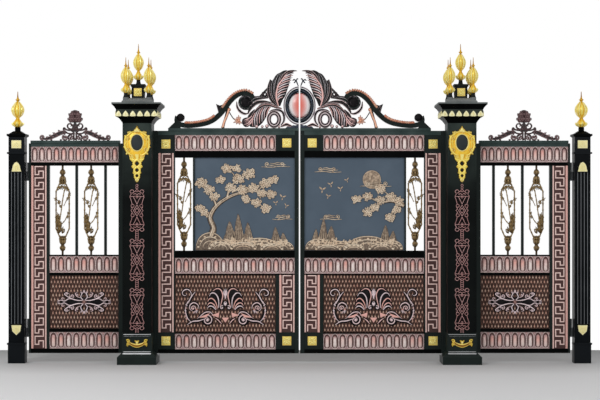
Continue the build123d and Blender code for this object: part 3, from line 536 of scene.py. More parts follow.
def sweep(casting, line, widths, height, section=ROUND, out=0.0, tone=0.5, closed=False, rub=1.0):
    """Sweeps a section along a flat line, with mitred corners. It gets lower where it is narrow."""
    line = np.array(line, float)
    count = len(line)
    widths = np.interp(np.linspace(0, 1, count), np.linspace(0, 1, len(widths)), widths)
    if section is ROUND and widths.max() < slim_bar:
        section = THIN if widths.max() < thin_bar else SLIM
    if closed:
        before, after = np.roll(line, 1, 0), np.roll(line, -1, 0)
    else:
        before = np.vstack([2 * line[:1] - line[1:2], line[:-1]])
        after = np.vstack([line[1:], 2 * line[-1:] - line[-2:-1]])
    arriving, leaving = unit(line - before), unit(after - line)
    along = unit(arriving + leaving)
    square = np.stack([-along[:, 1], along[:, 0]], 1)
    mitre = 1 / np.clip((along * arriving).sum(1), 0.55, 1)
    lowered = np.sqrt(widths / widths.max())
    points, rubs = [], []
    for n in range(count):
        for share, level, bright in section:
            place = line[n] + square[n] * share * widths[n] / 2 * mitre[n]
            points.append((place[0], place[1], out + level * height * lowered[n]))
            rubs.append(bright * rub)
    k = len(section)
    faces = []
    for n in range(count if closed else count - 1):
        a, b = n * k, (n + 1) % count * k
        faces += [(a + j, b + j, b + (j + 1) % k, a + (j + 1) % k) for j in range(k)]
    if not closed:
        faces += [tuple(range(k)), tuple(reversed(range((count - 1) * k, count * k)))]
    casting.add(points, faces, rubs, tone)


# %% Domes, plates, turned shapes and rods
def dome(casting, outline, height, out=0.0, tone=0.5, rings=3, edge_rub=0.3, top_rub=1.0):
    """A soft cushion over an outline that is seen whole from its middle."""
    outline = np.array(outline, float)
    middle = outline.mean(0)
    count = len(outline)
    points, rubs = [], []
    for ring in range(rings + 1):
        angle = math.pi / 2 * ring / (rings + 0.6)
        for p in outline:
            q = middle + (p - middle) * math.cos(angle)
            points.append((q[0], q[1], out + height * math.sin(angle)))
            rubs.append(edge_rub + (top_rub - edge_rub) * math.sin(angle))
    points.append((middle[0], middle[1], out + height))
    rubs.append(top_rub)
    faces = [tuple(reversed(range(count)))]
    for ring in range(rings):
        faces += ring_faces(ring * count, count)
    a = rings * count
    faces += [(a + j, a + (j + 1) % count, len(points) - 1) for j in range(count)]
    casting.add(points, faces, rubs, tone)


def plate(casting, outline, height, bevel, out=0.0, tone=0.5, side_rub=0.3, top_rub=0.9):
    """A flat plate with a bevelled edge, for an outline of any shape drawn anticlockwise."""
    outline = np.array(outline, float)
    arriving, leaving = unit(outline - np.roll(outline, 1, 0)), unit(np.roll(outline, -1, 0) - outline)
    along = unit(arriving + leaving)
    inward = np.stack([-along[:, 1], along[:, 0]], 1) / np.clip((along * arriving).sum(1), 0.5, 1)[:, None]
    levels = [(0.0, out, side_rub), (0.0, out + height - bevel * 0.6, side_rub),
              (bevel, out + height, top_rub)]
    points, rubs = [], []
    for inset, level, rub in levels:
        for p in outline + inward * inset:
            points.append((p[0], p[1], level))
            rubs.append(rub)
    count = len(outline)
    faces = [tuple(reversed(range(count))), tuple(range(2 * count, 3 * count))]
    for ring in (0, 1):
        faces += ring_faces(ring * count, count)
    casting.add(points, faces, rubs, tone)


def lathe(casting, profile, sides=20, across=0.0, out=0.0, tone=0.5, flutes=0, flute_depth=0.0):
    """Turns (radius, level) points about an upright axis, with soft flutes if they are asked for."""
    widest = max(radius for radius, _ in profile)
    points, rubs = [], []
    for radius, level in profile:
        for j in range(sides):
            angle = 2 * math.pi * j / sides
            wave = math.cos(flutes * angle) if flutes else 0.0
            r = max(radius, 0.3) * (1 + flute_depth * wave)
            points.append((across + r * math.sin(angle), level, out + r * math.cos(angle)))
            rubs.append(min(1.0, 0.15 + 0.85 * radius / widest) * (0.75 + 0.25 * wave if flutes else 1.0))
    faces = [tuple(reversed(range(sides))), tuple(range((len(profile) - 1) * sides, len(profile) * sides))]
    for ring in range(len(profile) - 1):
        faces += ring_faces(ring * sides, sides)
    casting.add(points, faces, rubs, tone)


def rod(casting, line, radii, sides=8, tone=0.5, rub=0.8):
    """A round rod along a line in space."""
    line = np.array(line, float)
    count = len(line)
    radii = np.interp(np.linspace(0, 1, count), np.linspace(0, 1, len(radii)), radii)
    along = unit(np.gradient(line, axis=0))
    side = np.cross(along[0], (0.0, 0.0, 1.0))
    if np.linalg.norm(side) < 0.1:
        side = np.cross(along[0], (1.0, 0.0, 0.0))
    points, rubs = [], []
    for n in range(count):
        side = side - along[n] * (side @ along[n])
        side = side / np.linalg.norm(side)
        other = np.cross(along[n], side)
        for j in range(sides):
            angle = 2 * math.pi * j / sides
            points.append(line[n] + (side * math.cos(angle) + other * math.sin(angle)) * radii[n])
            rubs.append(rub)
    faces = [tuple(reversed(range(sides))), tuple(range((count - 1) * sides, count * sides))]
    for n in range(count - 1):
        faces += ring_faces(n * sides, sides)
    casting.add(points, faces, rubs, tone)


def square_outline(half):
    """The corners of a square, anticlockwise."""
    return [(-half, -half), (half, -half), (half, half), (-half, half)]


def whole_outline(half):
    """An outline drawn for one half, which starts and ends on the middle line, with its mirror image."""
    return half + [(-across, up) for across, up in reversed(half[1:-1])]


def circle(across, up, radius, sides):
    """Points of a circle, anticlockwise."""
    return round_outline(across, up, radius, radius, sides)


def round_outline(across, up, half_width, half_height, sides=16):
    """Points of an oval, anticlockwise."""
    angles = [2 * math.pi * n / sides for n in range(sides)]
    return [(across + half_width * math.cos(a), up + half_height * math.sin(a)) for a in angles]


# %% [markdown]
# ## From a casting to a piece of the gate
# A casting is placed on the left half or its mirror image on the right, and on the road face, the yard face
# or both. Mirroring turns faces inside out, so Blender is asked to point them all outwards again at the
# end. Each piece says which body it moves with, which finish it takes and which solids it stands
# for.

# %% Make a piece
import bmesh

HALVES = {"left": -1, "right": 1}


def make_piece(name, casting, places, body, finish, replaces=(), sharp=38):
    """One piece out of copies of a casting. Each place is (x, y, side, face) of the casting's own zero."""
    shape = np.array(casting.points)
    count = len(shape)
    points = np.concatenate([np.stack([x + side * shape[:, 0], y - face * shape[:, 2], shape[:, 1]], 1)
                             for x, y, side, face in places]) * MM
    faces = [tuple(n * count + v for v in f) for n in range(len(places)) for f in casting.faces]
    mesh = bpy.data.meshes.new(name)
    mesh.from_pydata(points.tolist(), [], faces)
    for label, values in (("rub", casting.rub), ("tone", casting.tone)):
        attribute = mesh.attributes.new(label, "FLOAT", "POINT")
        attribute.data.foreach_set("value", np.tile(np.array(values, np.float32), len(places)))
    work = bmesh.new()
    work.from_mesh(mesh)
    bmesh.ops.recalc_face_normals(work, faces=work.faces)
    work.to_mesh(mesh)
    work.free()
    mesh.shade_smooth()
    mesh.set_sharp_from_angle(angle=math.radians(sharp))
    mesh.materials.append(finish)
    piece = bpy.data.objects.new(name, mesh)
    bpy.context.scene.collection.objects.link(piece)
    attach(piece, body)
    if replaces:
        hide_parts(*replaces)
    return piece


def both_faces(half):
    """The places on the road face and the yard face of one half of the gate."""
    return [(centre_x, leaf_y, HALVES[half], 1), (centre_x, leaf_y, HALVES[half], -1)]


def make_pair(name, casting, body, finish, stands_for=None, sharp=38):
    """A piece on the left half and its mirror image on the right. Names are given without the half."""
    for half in HALVES:
        solids = (f"{half}_{stands_for}",) if stands_for else ()
        places, carrier = both_faces(half), f"{half}_{body}"
        make_piece(f"{half}_{name}", casting, places, carrier, finish, solids, sharp)


def panels(node):
    """(near, far, low, high, out) of each loose member of a left-hand node, in the flat picture."""
    return [(centre_x - high[0], centre_x - low[0], low[2], high[2], (high[1] - low[1]) / 2)
            for low, high in member_boxes(node)]


def filled(node, fill, *measures):
    """A casting with the same filling over every loose member of a left-hand node."""
    made = Casting()
    for panel in panels(node):
        fill(made, panel, *measures)
    return made

# %% [markdown]
# ## Petal borders
# Broad cast borders run along the foot, the middle and the head of every leaf: a row of tall rounded
# petals, each inside a raised arch with beads between the arches. The petals are rubbed to pink copper,
# some of them almost white, and each is painted darker towards its top, as painted shade under the arch,
# and whiter towards its foot, as a painted highlight. One cell is drawn to the height of its border and
# then repeated, with a tone drawn at random from a fixed seed for each petal.

# %% One cell of a petal border
draw = random.Random(11)


def petal_cell(pitch, height, tone):
    """A petal in its arch, with its foot at zero."""
    cell = Casting()
    half = pitch / 2
    loop = [(0, 0.05), (0.5, 0.07), (0.84, 0.18), (0.9, 0.42), (0.89, 0.66), (0.7, 0.86), (0.34, 0.96),
            (0, 0.99)]
    line = smooth_line(whole_outline([(across * half, up * height) for across, up in loop]), 2, closed=True)
    dome(cell, line * (0.9, 0.94) + (0, 0.03 * height), 1.6, rings=1, edge_rub=0.0, top_rub=0.0, tone=tone)
    sweep(cell, line, [6], 5.5, out=0.0, tone=1.0, closed=True, rub=0.86)
    petal_half, low, high = 0.46 * half, 0.1 * height, 0.85 * height
    round_top = [(petal_half * math.cos(a), high - petal_half * 1.1 * (1 - math.sin(a)))
                 for a in np.linspace(0, math.pi, 7)]
    round_foot = [(petal_half * math.cos(a), low + petal_half * (1 + math.sin(a)))
                  for a in np.linspace(math.pi, 2 * math.pi, 7)]
    first = len(cell.points)
    dome(cell, round_top + round_foot, 11, tone=tone, rings=3, edge_rub=0.62)
    # each petal is painted darker towards its top, a painted shade under the arch, and whiter towards its
    # foot, a painted highlight
    for n in range(first, len(cell.points)):
        share = (cell.points[n][1] - low) / (high - low)
        cell.rub[n] *= 1 - 0.55 * share ** 3
        cell.tone[n] = tone + (1 - tone) * 0.85 * (1 - share)
    for up, size in ((0.16, 5.0), (0.29, 4.5), (0.42, 4.5), (0.55, 4.5), (0.68, 5.0)):
        bead = round_outline(half, up * height, 0.75 * size, size, 6)
        dome(cell, bead, 4.5, rings=1, edge_rub=0.3, tone=0.9, top_rub=0.75)
    dart = [(half - 11, 0.96 * height), (half, 0.78 * height), (half + 11, 0.96 * height)]
    dome(cell, dart, 4.0, rings=1, edge_rub=0.3, top_rub=0.6)
    return cell


# %% Fill the borders
def petal_border(casting, panel, pitch):
    """Fills one border with cells between a ledge along its foot and a fillet along its head."""
    near, far, low, high, out = panel
    count = round((far - near) / pitch)
    for n in range(count):
        cell = petal_cell((far - near) / count, high - low, draw.choice((0.0, 0.15, 0.35, 0.6, 0.95)))
        casting.stamp(cell, near + (far - near) * (n + 0.5) / count, low, out)
    for level, width in ((low + 3.5, 6), (high - 2.5, 4)):
        sweep(casting, [(near + 1, level), (far - 1, level)], [width], 5, FLAT, out, rub=0.7, tone=0.8)


leaf_petal_pitch, side_petal_pitch = 81, 78
leaf_petals = filled("left_leaf_petal_bands", petal_border, leaf_petal_pitch)
side_petals = filled("left_side_petal_bands", petal_border, side_petal_pitch)
make_pair("leaf_petals", leaf_petals, "leaf", petal_copper)
make_pair("side_petals", side_petals, "side_gate", petal_copper)
print("petal borders have", len(leaf_petals.faces), "and", len(side_petals.faces), "faces")

# %% [markdown]
# ## Key borders
# The upright borders carry a key: one unbroken fillet that folds back on itself, between a broad outer
# fillet and a narrow inner one. The fold is drawn once, as shares of the border's width and of the step
# from one fold to the next, and the whole line is swept in one go so that its corners are mitred.

# %% Key borders
key_fold = [(0, 1.0), (0, 0.29), (0.45, 0.29), (0.45, 0.6), (1, 0.6), (1, 0.0)]
fold_pitch, end_margin = 121, 10
key_inset, key_width, key_bar = 43, 87, 15
# each fillet is (distance from its edge of the border, width, tone)
outer_fillet, inner_fillet = (14, 25, 0.9), (9, 16, 0.5)


def key_border(casting, panel):
    """Fillets and key of one border. The broad fillet is at the edge that is far from the centre line."""
    near, far, low, high, out = panel
    for edge, inward, (inset, width, tone) in ((far, -1, outer_fillet), (near, 1, inner_fillet)):
        across = edge + inward * inset
        sweep(casting, [(across, low + 1), (across, high - 1)], [width], 6, FLAT, out, tone=tone, rub=0.9)
    run = high - low - 2 * end_margin
    count = max(1, round(run / fold_pitch))
    start, step = far - key_inset, run / count
    line = [(start - key_width, high - end_margin)]
    for n in reversed(range(count)):
        foot = low + end_margin + step * n
        line += [(start - across * key_width, foot + step * up) for across, up in key_fold]
    sweep(casting, line, [key_bar], 7, ROUND, out, tone=0.2)


leaf_keys = filled("left_leaf_key_borders", key_border)
side_keys = filled("left_side_key_border", key_border)
make_pair("leaf_keys", leaf_keys, "leaf", key_copper)
make_pair("side_key", side_keys, "side_gate", key_copper)
print("key borders have", len(leaf_keys.faces), "and", len(side_keys.faces), "faces")

# %% [markdown]
# ## Studded lattice
# The lower panels are cast as a fine lattice: thin slanting ribs, and in each gap an upright grain rubbed
# pale along its ridge. There are hundreds of grains, so a grain has only as many faces as its shape needs.

# %% Lattice panels
grain_pitch, grain_row = 34.0, 47.5
grain_half, grain_high = 7.5, 18.5


def grain(casting, middle, up, out):
    """One upright grain, pointed at both ends and ridged along its middle."""
    points = [(middle - grain_half, up, out), (middle, up - grain_high, out),
              (middle + grain_half, up, out), (middle, up + grain_high, out),
              (middle, up - grain_high * 0.55, out + 8), (middle, up + grain_high * 0.55, out + 8)]
    faces = [(3, 2, 1, 0), (0, 1, 4), (0, 4, 5, 3), (1, 2, 4), (2, 3, 5, 4)]
    casting.add(points, faces, [0.8, 0.55, 0.8, 0.55, 1.0, 1.0], draw.random())


def lattice(casting, panel):
    """Slanting ribs and staggered grains over one panel."""
    near, far, low, high, out = panel
    columns = round((far - near) / grain_pitch)
    rows = round((high - low) / grain_row)
    pitch, row = (far - near) / columns, (high - low) / rows
    for n in range(rows):
        shift = n % 2
        for m in range(columns - shift):
            grain(casting, near + (m + 0.5 + 0.5 * shift) * pitch, low + (n + 0.5) * row, out)
    slope = 2 * row / pitch
    for n in range(-rows, columns + rows):
        for lean in (1, -1):
            foot = near + n * pitch
            line = []
            for across in (foot, foot + lean * (high - low) / slope):
                inside = min(max(across, near), far)
                line.append((inside, low + lean * (inside - foot) * slope))
            if abs(line[1][0] - line[0][0]) > 4:
                sweep(casting, line, [5], 3.0, RIDGE, out, rub=0.45, tone=0.9)


leaf_lattice = filled("left_leaf_lattice", lattice)
side_lattice = filled("left_side_lattice", lattice)
crisp = 20
make_pair("leaf_grains", leaf_lattice, "leaf", lattice_brown, sharp=crisp)
make_pair("side_grains", side_lattice, "side_gate", lattice_brown, sharp=crisp)
print("lattices have", len(leaf_lattice.faces), "and", len(side_lattice.faces), "faces")

# %% [markdown]
# ## Gate posts
# The posts stay as solids. What is laid on them is cast: a trellis of thin bars up the face, a gilt
# cartouche under the cap, pointed petals round the frieze, a swag on the plinth and five finials on the
# roof. Each casting is drawn about the post's own axis, so "out" is now measured from the axis, and it is
# placed on both posts at once. A piece may stand for a plainer solid of the same size, which then stays
# only for collisions, hidden.

# %% Places on the posts
post_low, post_high = shafts[0]
post_half = (post_high[0] - post_low[0]) / 2
plinth_top = node_box("gate_post_plinths")[1][2]
crown_foot, crown_top = [corner[2] for corner in member_boxes("gate_post_crowns")[0]]
roof_rise, neck_rise, pedestal_rise = 56, 48, 61
end_posts = member_boxes("end_post_shafts")
sinking = 14
end_half = (end_posts[0][1][0] - end_posts[0][0][0]) / 2 - sinking
end_y = node_box("end_post_shafts")[1][1] - end_half
gate_fronts = [(x, 0, side, 1) for x, side in zip(post_axes, (-1, 1))]
gate_faces = gate_fronts + [(x, 0, side, -1) for x, side in zip(post_axes, (-1, 1))]
end_axes = [(low[0] + high[0]) / 2 for low, high in end_posts]
end_faces = [(x, end_y, 1, face) for x in end_axes for face in (1, -1)]
print("gate posts", round(2 * post_half), "mm wide, end posts", round(2 * end_half), "mm wide")

# %% [markdown]
# ### Trellis
# The trellis is a chain of three long motifs. Bars alone would look like wire, so each line is swept as a
# small round bead, and the hearts, loops and diamond are drawn for one quarter and mirrored both ways.

# %% Trellis up the face of a post
motif_half, motif_middle, motif_pitch = 220.0, 574.0, 510.0
quarter_lines = (
    [(0, 58), (36, 0)],
    [(0, 28), (20, 0)],
    [(58, 33), (48, 18), (64, 0)],
    [(0, 66), (20, 108), (40, 148)],
    [(50, 66), (60, 104), (74, 142)],
    [(0, 150), (38, 146), (74, 144)],
    [(74, 148), (60, 172), (72, 198), (52, 215), (32, 202), (38, 182), (56, 184)],
    [(0, 160), (16, 176), (36, 166)],
    [(14, 206), (24, 196), (34, 198)],
)
ground_half = [(0, -222), (46, -216), (72, -202), (62, -174), (74, -146), (60, -100), (64, -52), (58, -24),
               (66, 0), (58, 24), (64, 52), (60, 100), (74, 146), (62, 174), (72, 202), (46, 216), (0, 222)]
motif = Casting()
plate(motif, whole_outline(ground_half), 2.5, 1, 0, 0.5, 0.0, 0.0)
for line in quarter_lines:
    curve = smooth_line(line, 4) if len(line) > 2 else np.array(line, float)
    for flip_across in (1, -1):
        for flip_up in (1, -1):
            sweep(motif, curve * (flip_across, flip_up), [6], 6, out=0.0, tone=draw.random(), rub=0.9)
for across, up, radius in ((45, 49, 16), (0, 138, 9), (0, 205, 12)):
    for side in (1, -1) if across else (1,):
        for level in (1, -1):
            sweep(motif, circle(side * across, level * up, radius, 14), [6], 6, closed=True, tone=0.6,
                  rub=0.85)
post_trellis = Casting()
link_half = 14
for n in range(3):
    middle = motif_middle + n * motif_pitch
    post_trellis.stamp(motif, 0, middle, post_half)
    for across in (-link_half, link_half):
        line = [(across, max(middle - 292, plinth_top + 4)), (across, middle - 214)]
        sweep(post_trellis, line, [6], 5, out=post_half, rub=0.8)
    for up in (-276, -256, -236):
        if middle + up > plinth_top:
            line = [(-link_half, middle + up), (link_half, middle + up)]
            sweep(post_trellis, line, [6], 5, out=post_half, rub=0.8)
top_of_chain = motif_middle + 2 * motif_pitch + motif_half
for up in (16, 40):
    sweep(post_trellis, round_outline(0, top_of_chain + up, 11, 12, 12), [6], 5, out=post_half, closed=True,
          rub=0.8)
make_piece("post_trellis", post_trellis, gate_faces, "posts", trellis_copper,
           replaces=("post_trellises",))

# %% [markdown]
# ### Cartouche and gilding
# The cartouche is modelled as a founder would carve it: a plate cut to the outline of leaves and scrolls, a
# bead round an oval eye of dark slate, two pairs of curls, a pointed crown leaf, two curls at the neck and
# a pendant pierced by three lozenges. The hollows stay deep orange and the crests are bright.

# %% Cartouche
eye_level = 2297.0
# a leaf broader than this gets a second ring of points
broad_leaf = 24.0


def lobe(casting, across, up, length, width, turn, height, out=0.0, tone=0.3, base=0.35):
    """A leaf lobe with its root at a point, pointing along its turn, with a groove down its middle."""
    c, s = math.cos(math.radians(turn)), math.sin(math.radians(turn))
    rings = 2 if width > broad_leaf else 1
    for side in (1, -1):
        shape = [(0, 0), (0.3, side * 0.5), (0.68, side * 0.46), (1.0, 0), (0.6, side * 0.05)]
        points = [(across + x * length * c - y * width * s, up + x * length * s + y * width * c)
                  for x, y in (shape if side < 0 else shape[::-1])]
        dome(casting, smooth_line(points, 2, closed=True), height, out, tone, rings, base)


def curl(casting, across, up, radius, start, turns, width, height, out=0.0, tone=0.3, rub=1.0):
    """A curl with a boss in its eye."""
    line = spiral((across, up), radius, start, turns, 0.3)
    sweep(casting, line, [width, width, width * 0.5], height, ROUND, out, tone, rub=rub)
    dome(casting, circle(across, up, radius * 0.34, 8), height * 1.1, out, tone, rings=2)


def facing(side, turn):
    """A turn in degrees, or its mirror image on the left side."""
    return turn if side > 0 else 180 - turn


cartouche = Casting()
outline_half = [(0, -176), (30, -180), (48, -178), (76, -166), (50, -152), (85, -130), (113, -90),
                (130, -56), (137, -20), (136, 26), (130, 55), (104, 74), (92, 96), (74, 119), (54, 108),
                (36, 122), (16, 146), (0, 172)]
plate(cartouche, whole_outline(outline_half), 5, 3, 0, 0.1, 0.2, 0.55)
sweep(cartouche, round_outline(0, 0, 67, 88, 36), [15], 13, ROUND, closed=True, tone=0.9)
for side in (1, -1):
    for line, widths in (
            ([(20, 112), (58, 104), (84, 82), (116, 58), (124, 20), (112, -4)], [12, 22, 22, 24, 20, 10]),
            ([(104, 16), (124, -18), (118, -60), (98, -98), (66, -124), (34, -132)],
             [8, 20, 24, 24, 20, 12]),
            ([(86, 64), (98, 28), (96, -30), (84, -66)], [10, 14, 14, 8])):
        scroll = smooth_line([(side * across, up) for across, up in line], 4)
        sweep(cartouche, scroll, widths, 12, ROUND, 3, 0.2 + 0.3 * draw.random())
    for across, up, radius, turn, turns in (
            (100, 46, 26, 60, 1.1), (96, -72, 24, 300, -1.1), (58, -140, 20, 40, -1.0),
            (72, 104, 13, 180, -1.0)):
        curl(cartouche, side * across, up, radius, facing(side, turn), turns * side, 12, 15, 5, 0.8)
    for across, up, length, turn in (
            (110, 62, 34, 20), (116, -40, 34, -20), (96, -104, 36, -46), (84, 92, 34, 60)):
        lobe(cartouche, side * across, up, length * 0.8, 20, facing(side, turn), 9, 6, 0.6)
crown_leaf = [(-36, 100), (36, 100), (34, 122), (16, 142), (0, 174), (-16, 142), (-34, 122)]
dome(cartouche, smooth_line(crown_leaf, 3, closed=True), 16, 2, 0.7, rings=4, edge_rub=0.1)
for turn in (52, 90, 128):
    lobe(cartouche, 0, 104, 60 if turn == 90 else 44, 26, turn, 8, 13, tone=0.9)
eye_plate = Casting()
plate(eye_plate, round_outline(0, 0, 62, 83, 36), 7, 2, post_half)
eyes = Casting()
eyes.stamp(eye_plate, 0, eye_level)
pendant_levels = ((-216, 64, 20), (-285, 49, 17), (-343, 36, 14))
for side in (1, -1):
    curl(cartouche, side * 48, -158, 28, facing(side, 200), 1.1 * side, 18, 12, 2)
    lobe(cartouche, side * 20, -150, 58, 22, facing(side, -14), 9, 6)
sweep(cartouche, [(0, -120), (0, -188)], [64, 36], 13, ROUND, tone=0.6)
for level, half, hole in pendant_levels:
    lozenge = [(0, level - hole * 1.9), (hole * 1.75, level), (0, level + hole * 1.9),
               (-hole * 1.75, level)]
    sweep(cartouche, smooth_line(lozenge, 5, closed=True), [hole * 1.35], 11, ROUND, closed=True, tone=0.4)
    for side in (1, -1):
        for reach, up, length, width, turn in ((0.3, 1.3, 0.8, 1.8, 20), (0.35, -1.1, 0.62, 1.5, -24)):
            lobe(cartouche, side * half * reach, level + hole * up, half * length, hole * width,
                 facing(side, turn), 9, 3)
lobe(cartouche, 0, -356, 55, 40, -90, 9, 1, tone=0.8)
post_gilt = Casting()
post_gilt.stamp(cartouche, 0, eye_level, post_half)

# %% [markdown]
# ### Swag, rosettes and end post plaques
# The same lobes and curls make the draped swag on the plinth. The rosettes are four broad petals and four
# narrow ones in a square frame, and one drawing serves for the pedestal on the roof and for the corner
# blocks of the leaves. The plaques of the end posts are flat plates with a raised rim and a leaf inside.

# %% Swag
swag = Casting()
drape = smooth_line([(-94, 26), (-60, -8), (0, -26), (60, -8), (94, 26)], 6)
sweep(swag, drape, [14, 26, 34, 26, 14], 14, GUTTER, tone=0.4)
sweep(swag, drape * (0.96, 0.7) + (0, 10), [6, 10, 12, 10, 6], 15, ROUND, tone=0.9)
for side in (1, -1):
    curl(swag, side * 92, 24, 19, facing(side, 30), 1.1 * side, 12, 13)
    lobe(swag, side * 96, 14, 48, 20, facing(side, -86), 10)
    lobe(swag, side * 78, 10, 34, 14, facing(side, -80), 8)
    lobe(swag, 0, 12, 32, 18, facing(side, 42), 10, 4)
dome(swag, round_outline(0, 8, 14, 18, 10), 15, 2, 0.9)
front_of_die, swag_level = 155.0, 218
swag_on_post = Casting()
swag_on_post.stamp(swag, 0, swag_level, front_of_die)


# %% Rosette
def rosette(size):
    """Four broad petals and four narrow ones round a boss, in a square frame."""
    tile = Casting()
    half = size / 2
    plate(tile, square_outline(half), 6.5, 2, tone=0.2, top_rub=0.65)
    sweep(tile, square_outline(half - 4), [7], 9, ROUND, closed=True, tone=0.9)
    for turn in (45, 135, 225, 315):
        lobe(tile, 0, 0, half * 1.12, half * 0.86, turn, 7, 4, tone=0.9, base=0.7)
    for turn in (0, 90, 180, 270):
        lobe(tile, 0, 0, half * 0.84, half * 0.44, turn, 6, 4, tone=0.3, base=0.5)
    dome(tile, circle(0, 0, half * 0.2, 8), 10, 4, 0.9, rings=2)
    return tile


pedestal_half = 65.0
pedestal_level = crown_foot + roof_rise + pedestal_rise
small_rosette = rosette(82)
roof_rosettes = Casting()
roof_rosettes.stamp(small_rosette, 0, pedestal_level, pedestal_half)

# %% End post plaques
def leaf_plaque(outline, stem_low, stem_high):
    """A plaque with a raised rim, and paired leaves on a stem."""
    made = Casting()
    plate(made, outline, 5, 2, tone=0.3, top_rub=0.5)
    middle = np.array(outline, float).mean(0)
    rim = middle + (np.array(outline, float) - middle) * 0.9
    sweep(made, rim, [7], 9, ROUND, closed=True, tone=0.9)
    pairs = 3
    for n in range(pairs):
        up = stem_low + (stem_high - stem_low) * n / pairs
        for side in (1, -1):
            lobe(made, 0, up, 34 - 7 * n, 17, facing(side, 40), 7, 4, tone=0.6)
    lobe(made, 0, stem_high - 16, 24, 14, 90, 8, 4, tone=0.9)
    return made


plaque_half = 51.0
tablet = leaf_plaque([(-plaque_half, 0), (plaque_half, 0), (plaque_half, 83), (-plaque_half, 83)], 14, 62)
bell = leaf_plaque([(-plaque_half, 0), (plaque_half, 0), (44, 24), (37, 60), (21, 89), (0, 101), (-21, 89),
                    (-37, 60), (-44, 24)], 14, 74)
shield = leaf_plaque([(0, 0), (42, 41), (plaque_half, 104), (-plaque_half, 104), (-42, 41)], 28, 84)
plaques = Casting()
for plaque, level in ((tablet, 2244.5), (bell, 2001), (shield, 294)):
    plaques.stamp(plaque, 0, level, end_half)

# %% Place the gilding
make_piece("post_cartouches", post_gilt, gate_faces, "posts", gilding, replaces=("post_gilding",))
make_piece("cartouche_eyes", eyes, gate_faces, "posts", eye_slate)
make_piece("plinth_swags", swag_on_post, gate_fronts, "posts", gilding)
make_piece("pedestal_rosettes", roof_rosettes, gate_faces, "posts", gilding)
make_piece("end_plaques", plaques, end_faces, "posts", pale_gilding)

# %% [markdown]
# ### Finials
# A finial is turned from one profile with soft flutes, which alone would look like a balustrade, so its
# bulb gets a cage of leaf ribs that meet at the collar, and its cup gets a ring of leaves that curl
# outward.

# %% Finials
finial_profile = [(0.40, 0.0), (0.62, 0.035), (0.86, 0.09), (0.74, 0.14), (0.46, 0.20), (0.30, 0.25),
                  (0.42, 0.29), (0.74, 0.37), (0.88, 0.478), (0.76, 0.58), (0.42, 0.67), (0.22, 0.715),
                  (0.26, 0.745), (0.44, 0.768), (0.24, 0.79), (0.12, 0.85), (0.05, 1.0)]


def finial(casting, radius, base, height, x, y):
    """A gilt finial that stands at a place beside the post's axis."""
    profile = smooth_line(finial_profile, 3)
    lathe(casting, [(r * radius, base + z * height) for r, z in profile], 24, x, y, 0.3, 6, 0.06)
    rib_shape = [(0.32, 0.27), (0.78, 0.345), (1.02, 0.45), (1.0, 0.53), (0.78, 0.6), (0.44, 0.68),
                 (0.26, 0.72)]
    for n in range(6):
        angle = math.radians(60 * n + 30)
        line = [(x + r * radius * math.sin(angle), base + z * height, y + r * radius * math.cos(angle))
                for r, z in smooth_line(rib_shape, 3)]
        rod(casting, line, [2.5, 6.5, 6.5, 2.5], 6, 0.9, 1.0)
    for n in range(8):
        angle = math.radians(45 * n)
        line = [(x + r * radius * math.sin(angle), base + z * height, y + r * radius * math.cos(angle))
                for r, z in ((0.5, 0.02), (0.82, 0.06), (1.0, 0.1), (0.9, 0.135))]
        rod(casting, line, [5, 8, 7, 3], 6, 0.8, 1.0)
    for n in range(6):
        angle = math.radians(60 * n)
        middle = (x + radius * 0.9 * math.sin(angle), base + 0.478 * height,
                  y + radius * 0.9 * math.cos(angle))
        beads = [(middle[0], middle[1] + dz, middle[2]) for dz in (-24, -8, 8, 24)]
        rod(casting, beads, [3, 9, 9, 3], 6, 0.5, 0.9)


finials = Casting()
corner_base, corner_reach = crown_foot + roof_rise + neck_rise, 119
finial(finials, 48, crown_top, 378, 0, 0)
for across in (-corner_reach, corner_reach):
    for out in (-corner_reach, corner_reach):
        finial(finials, 46, corner_base, 370, across, out)
end_finial = Casting()
end_cap_top = node_box("end_post_caps")[1][2]
finial(end_finial, 61, end_cap_top, 375, 0, 0)
make_piece("gate_finials", finials, gate_fronts, "posts", gilding, replaces=("post_finials",))
make_piece("end_finials", end_finial, [(x, end_y, 1, 1) for x in end_axes], "posts", gilding)

# %% [markdown]
# ### Petals round the cap
# The petals of the frieze stand all round the cap, so one row is drawn at the frieze's own distance from
# the axis and turned about the post to each of its four sides.

# %% Cap petals
frieze_half, frieze_low = 212.0, 2565.0


def turned_round(casting, quarter):
    """The casting turned about the upright axis by a number of quarter turns."""
    c, s = round(math.cos(quarter * math.pi / 2)), round(math.sin(quarter * math.pi / 2))
    return casting.remade(lambda a, u, o: (a * c + o * s, u, o * c - a * s))


petal_row = Casting()
for n in range(6):
    across = 74 * (n - 2.5)
    outline = [(-27, 2), (27, 2), (28, 20), (19, 38), (0, 58), (-19, 38), (-28, 20)]
    shape = smooth_line([(across + a, frieze_low + u) for a, u in outline], 3, closed=True)
    plate(petal_row, shape, 5, 2, frieze_half, 0.8, top_rub=0.8)
    sweep(petal_row, (shape - (across, frieze_low + 28)) * 0.86 + (across, frieze_low + 28), [6], 8, ROUND,
          frieze_half, 0.9, closed=True)
    drop = [(across - 9, frieze_low + 12), (across + 9, frieze_low + 12), (across + 7, frieze_low + 28),
            (across, frieze_low + 42), (across - 7, frieze_low + 28)]
    dome(petal_row, smooth_line(drop, 2, closed=True), 4, frieze_half + 4, 0.2, edge_rub=0.15, top_rub=0.5)
ring_of_petals = Casting()
for quarter in range(4):
    ring_of_petals.stamp(turned_round(petal_row, quarter))
make_piece("frieze_petals", ring_of_petals, gate_fronts, "posts", pale_gilding,
           replaces=("cap_petals",))
print("cartouche", len(cartouche.faces), "faces, finials", len(finials.faces))

# %% [markdown]
# ### Silver mouldings
# The die of the plinth is framed by thin silver mouldings and a bolder one lies at the head of its slope.
# They stay on the road face and the yard face, because the open leaves pass close by the flanks. The end
# posts have a thin bead of dull steel in every flute. All of them are rods laid half into the surface.

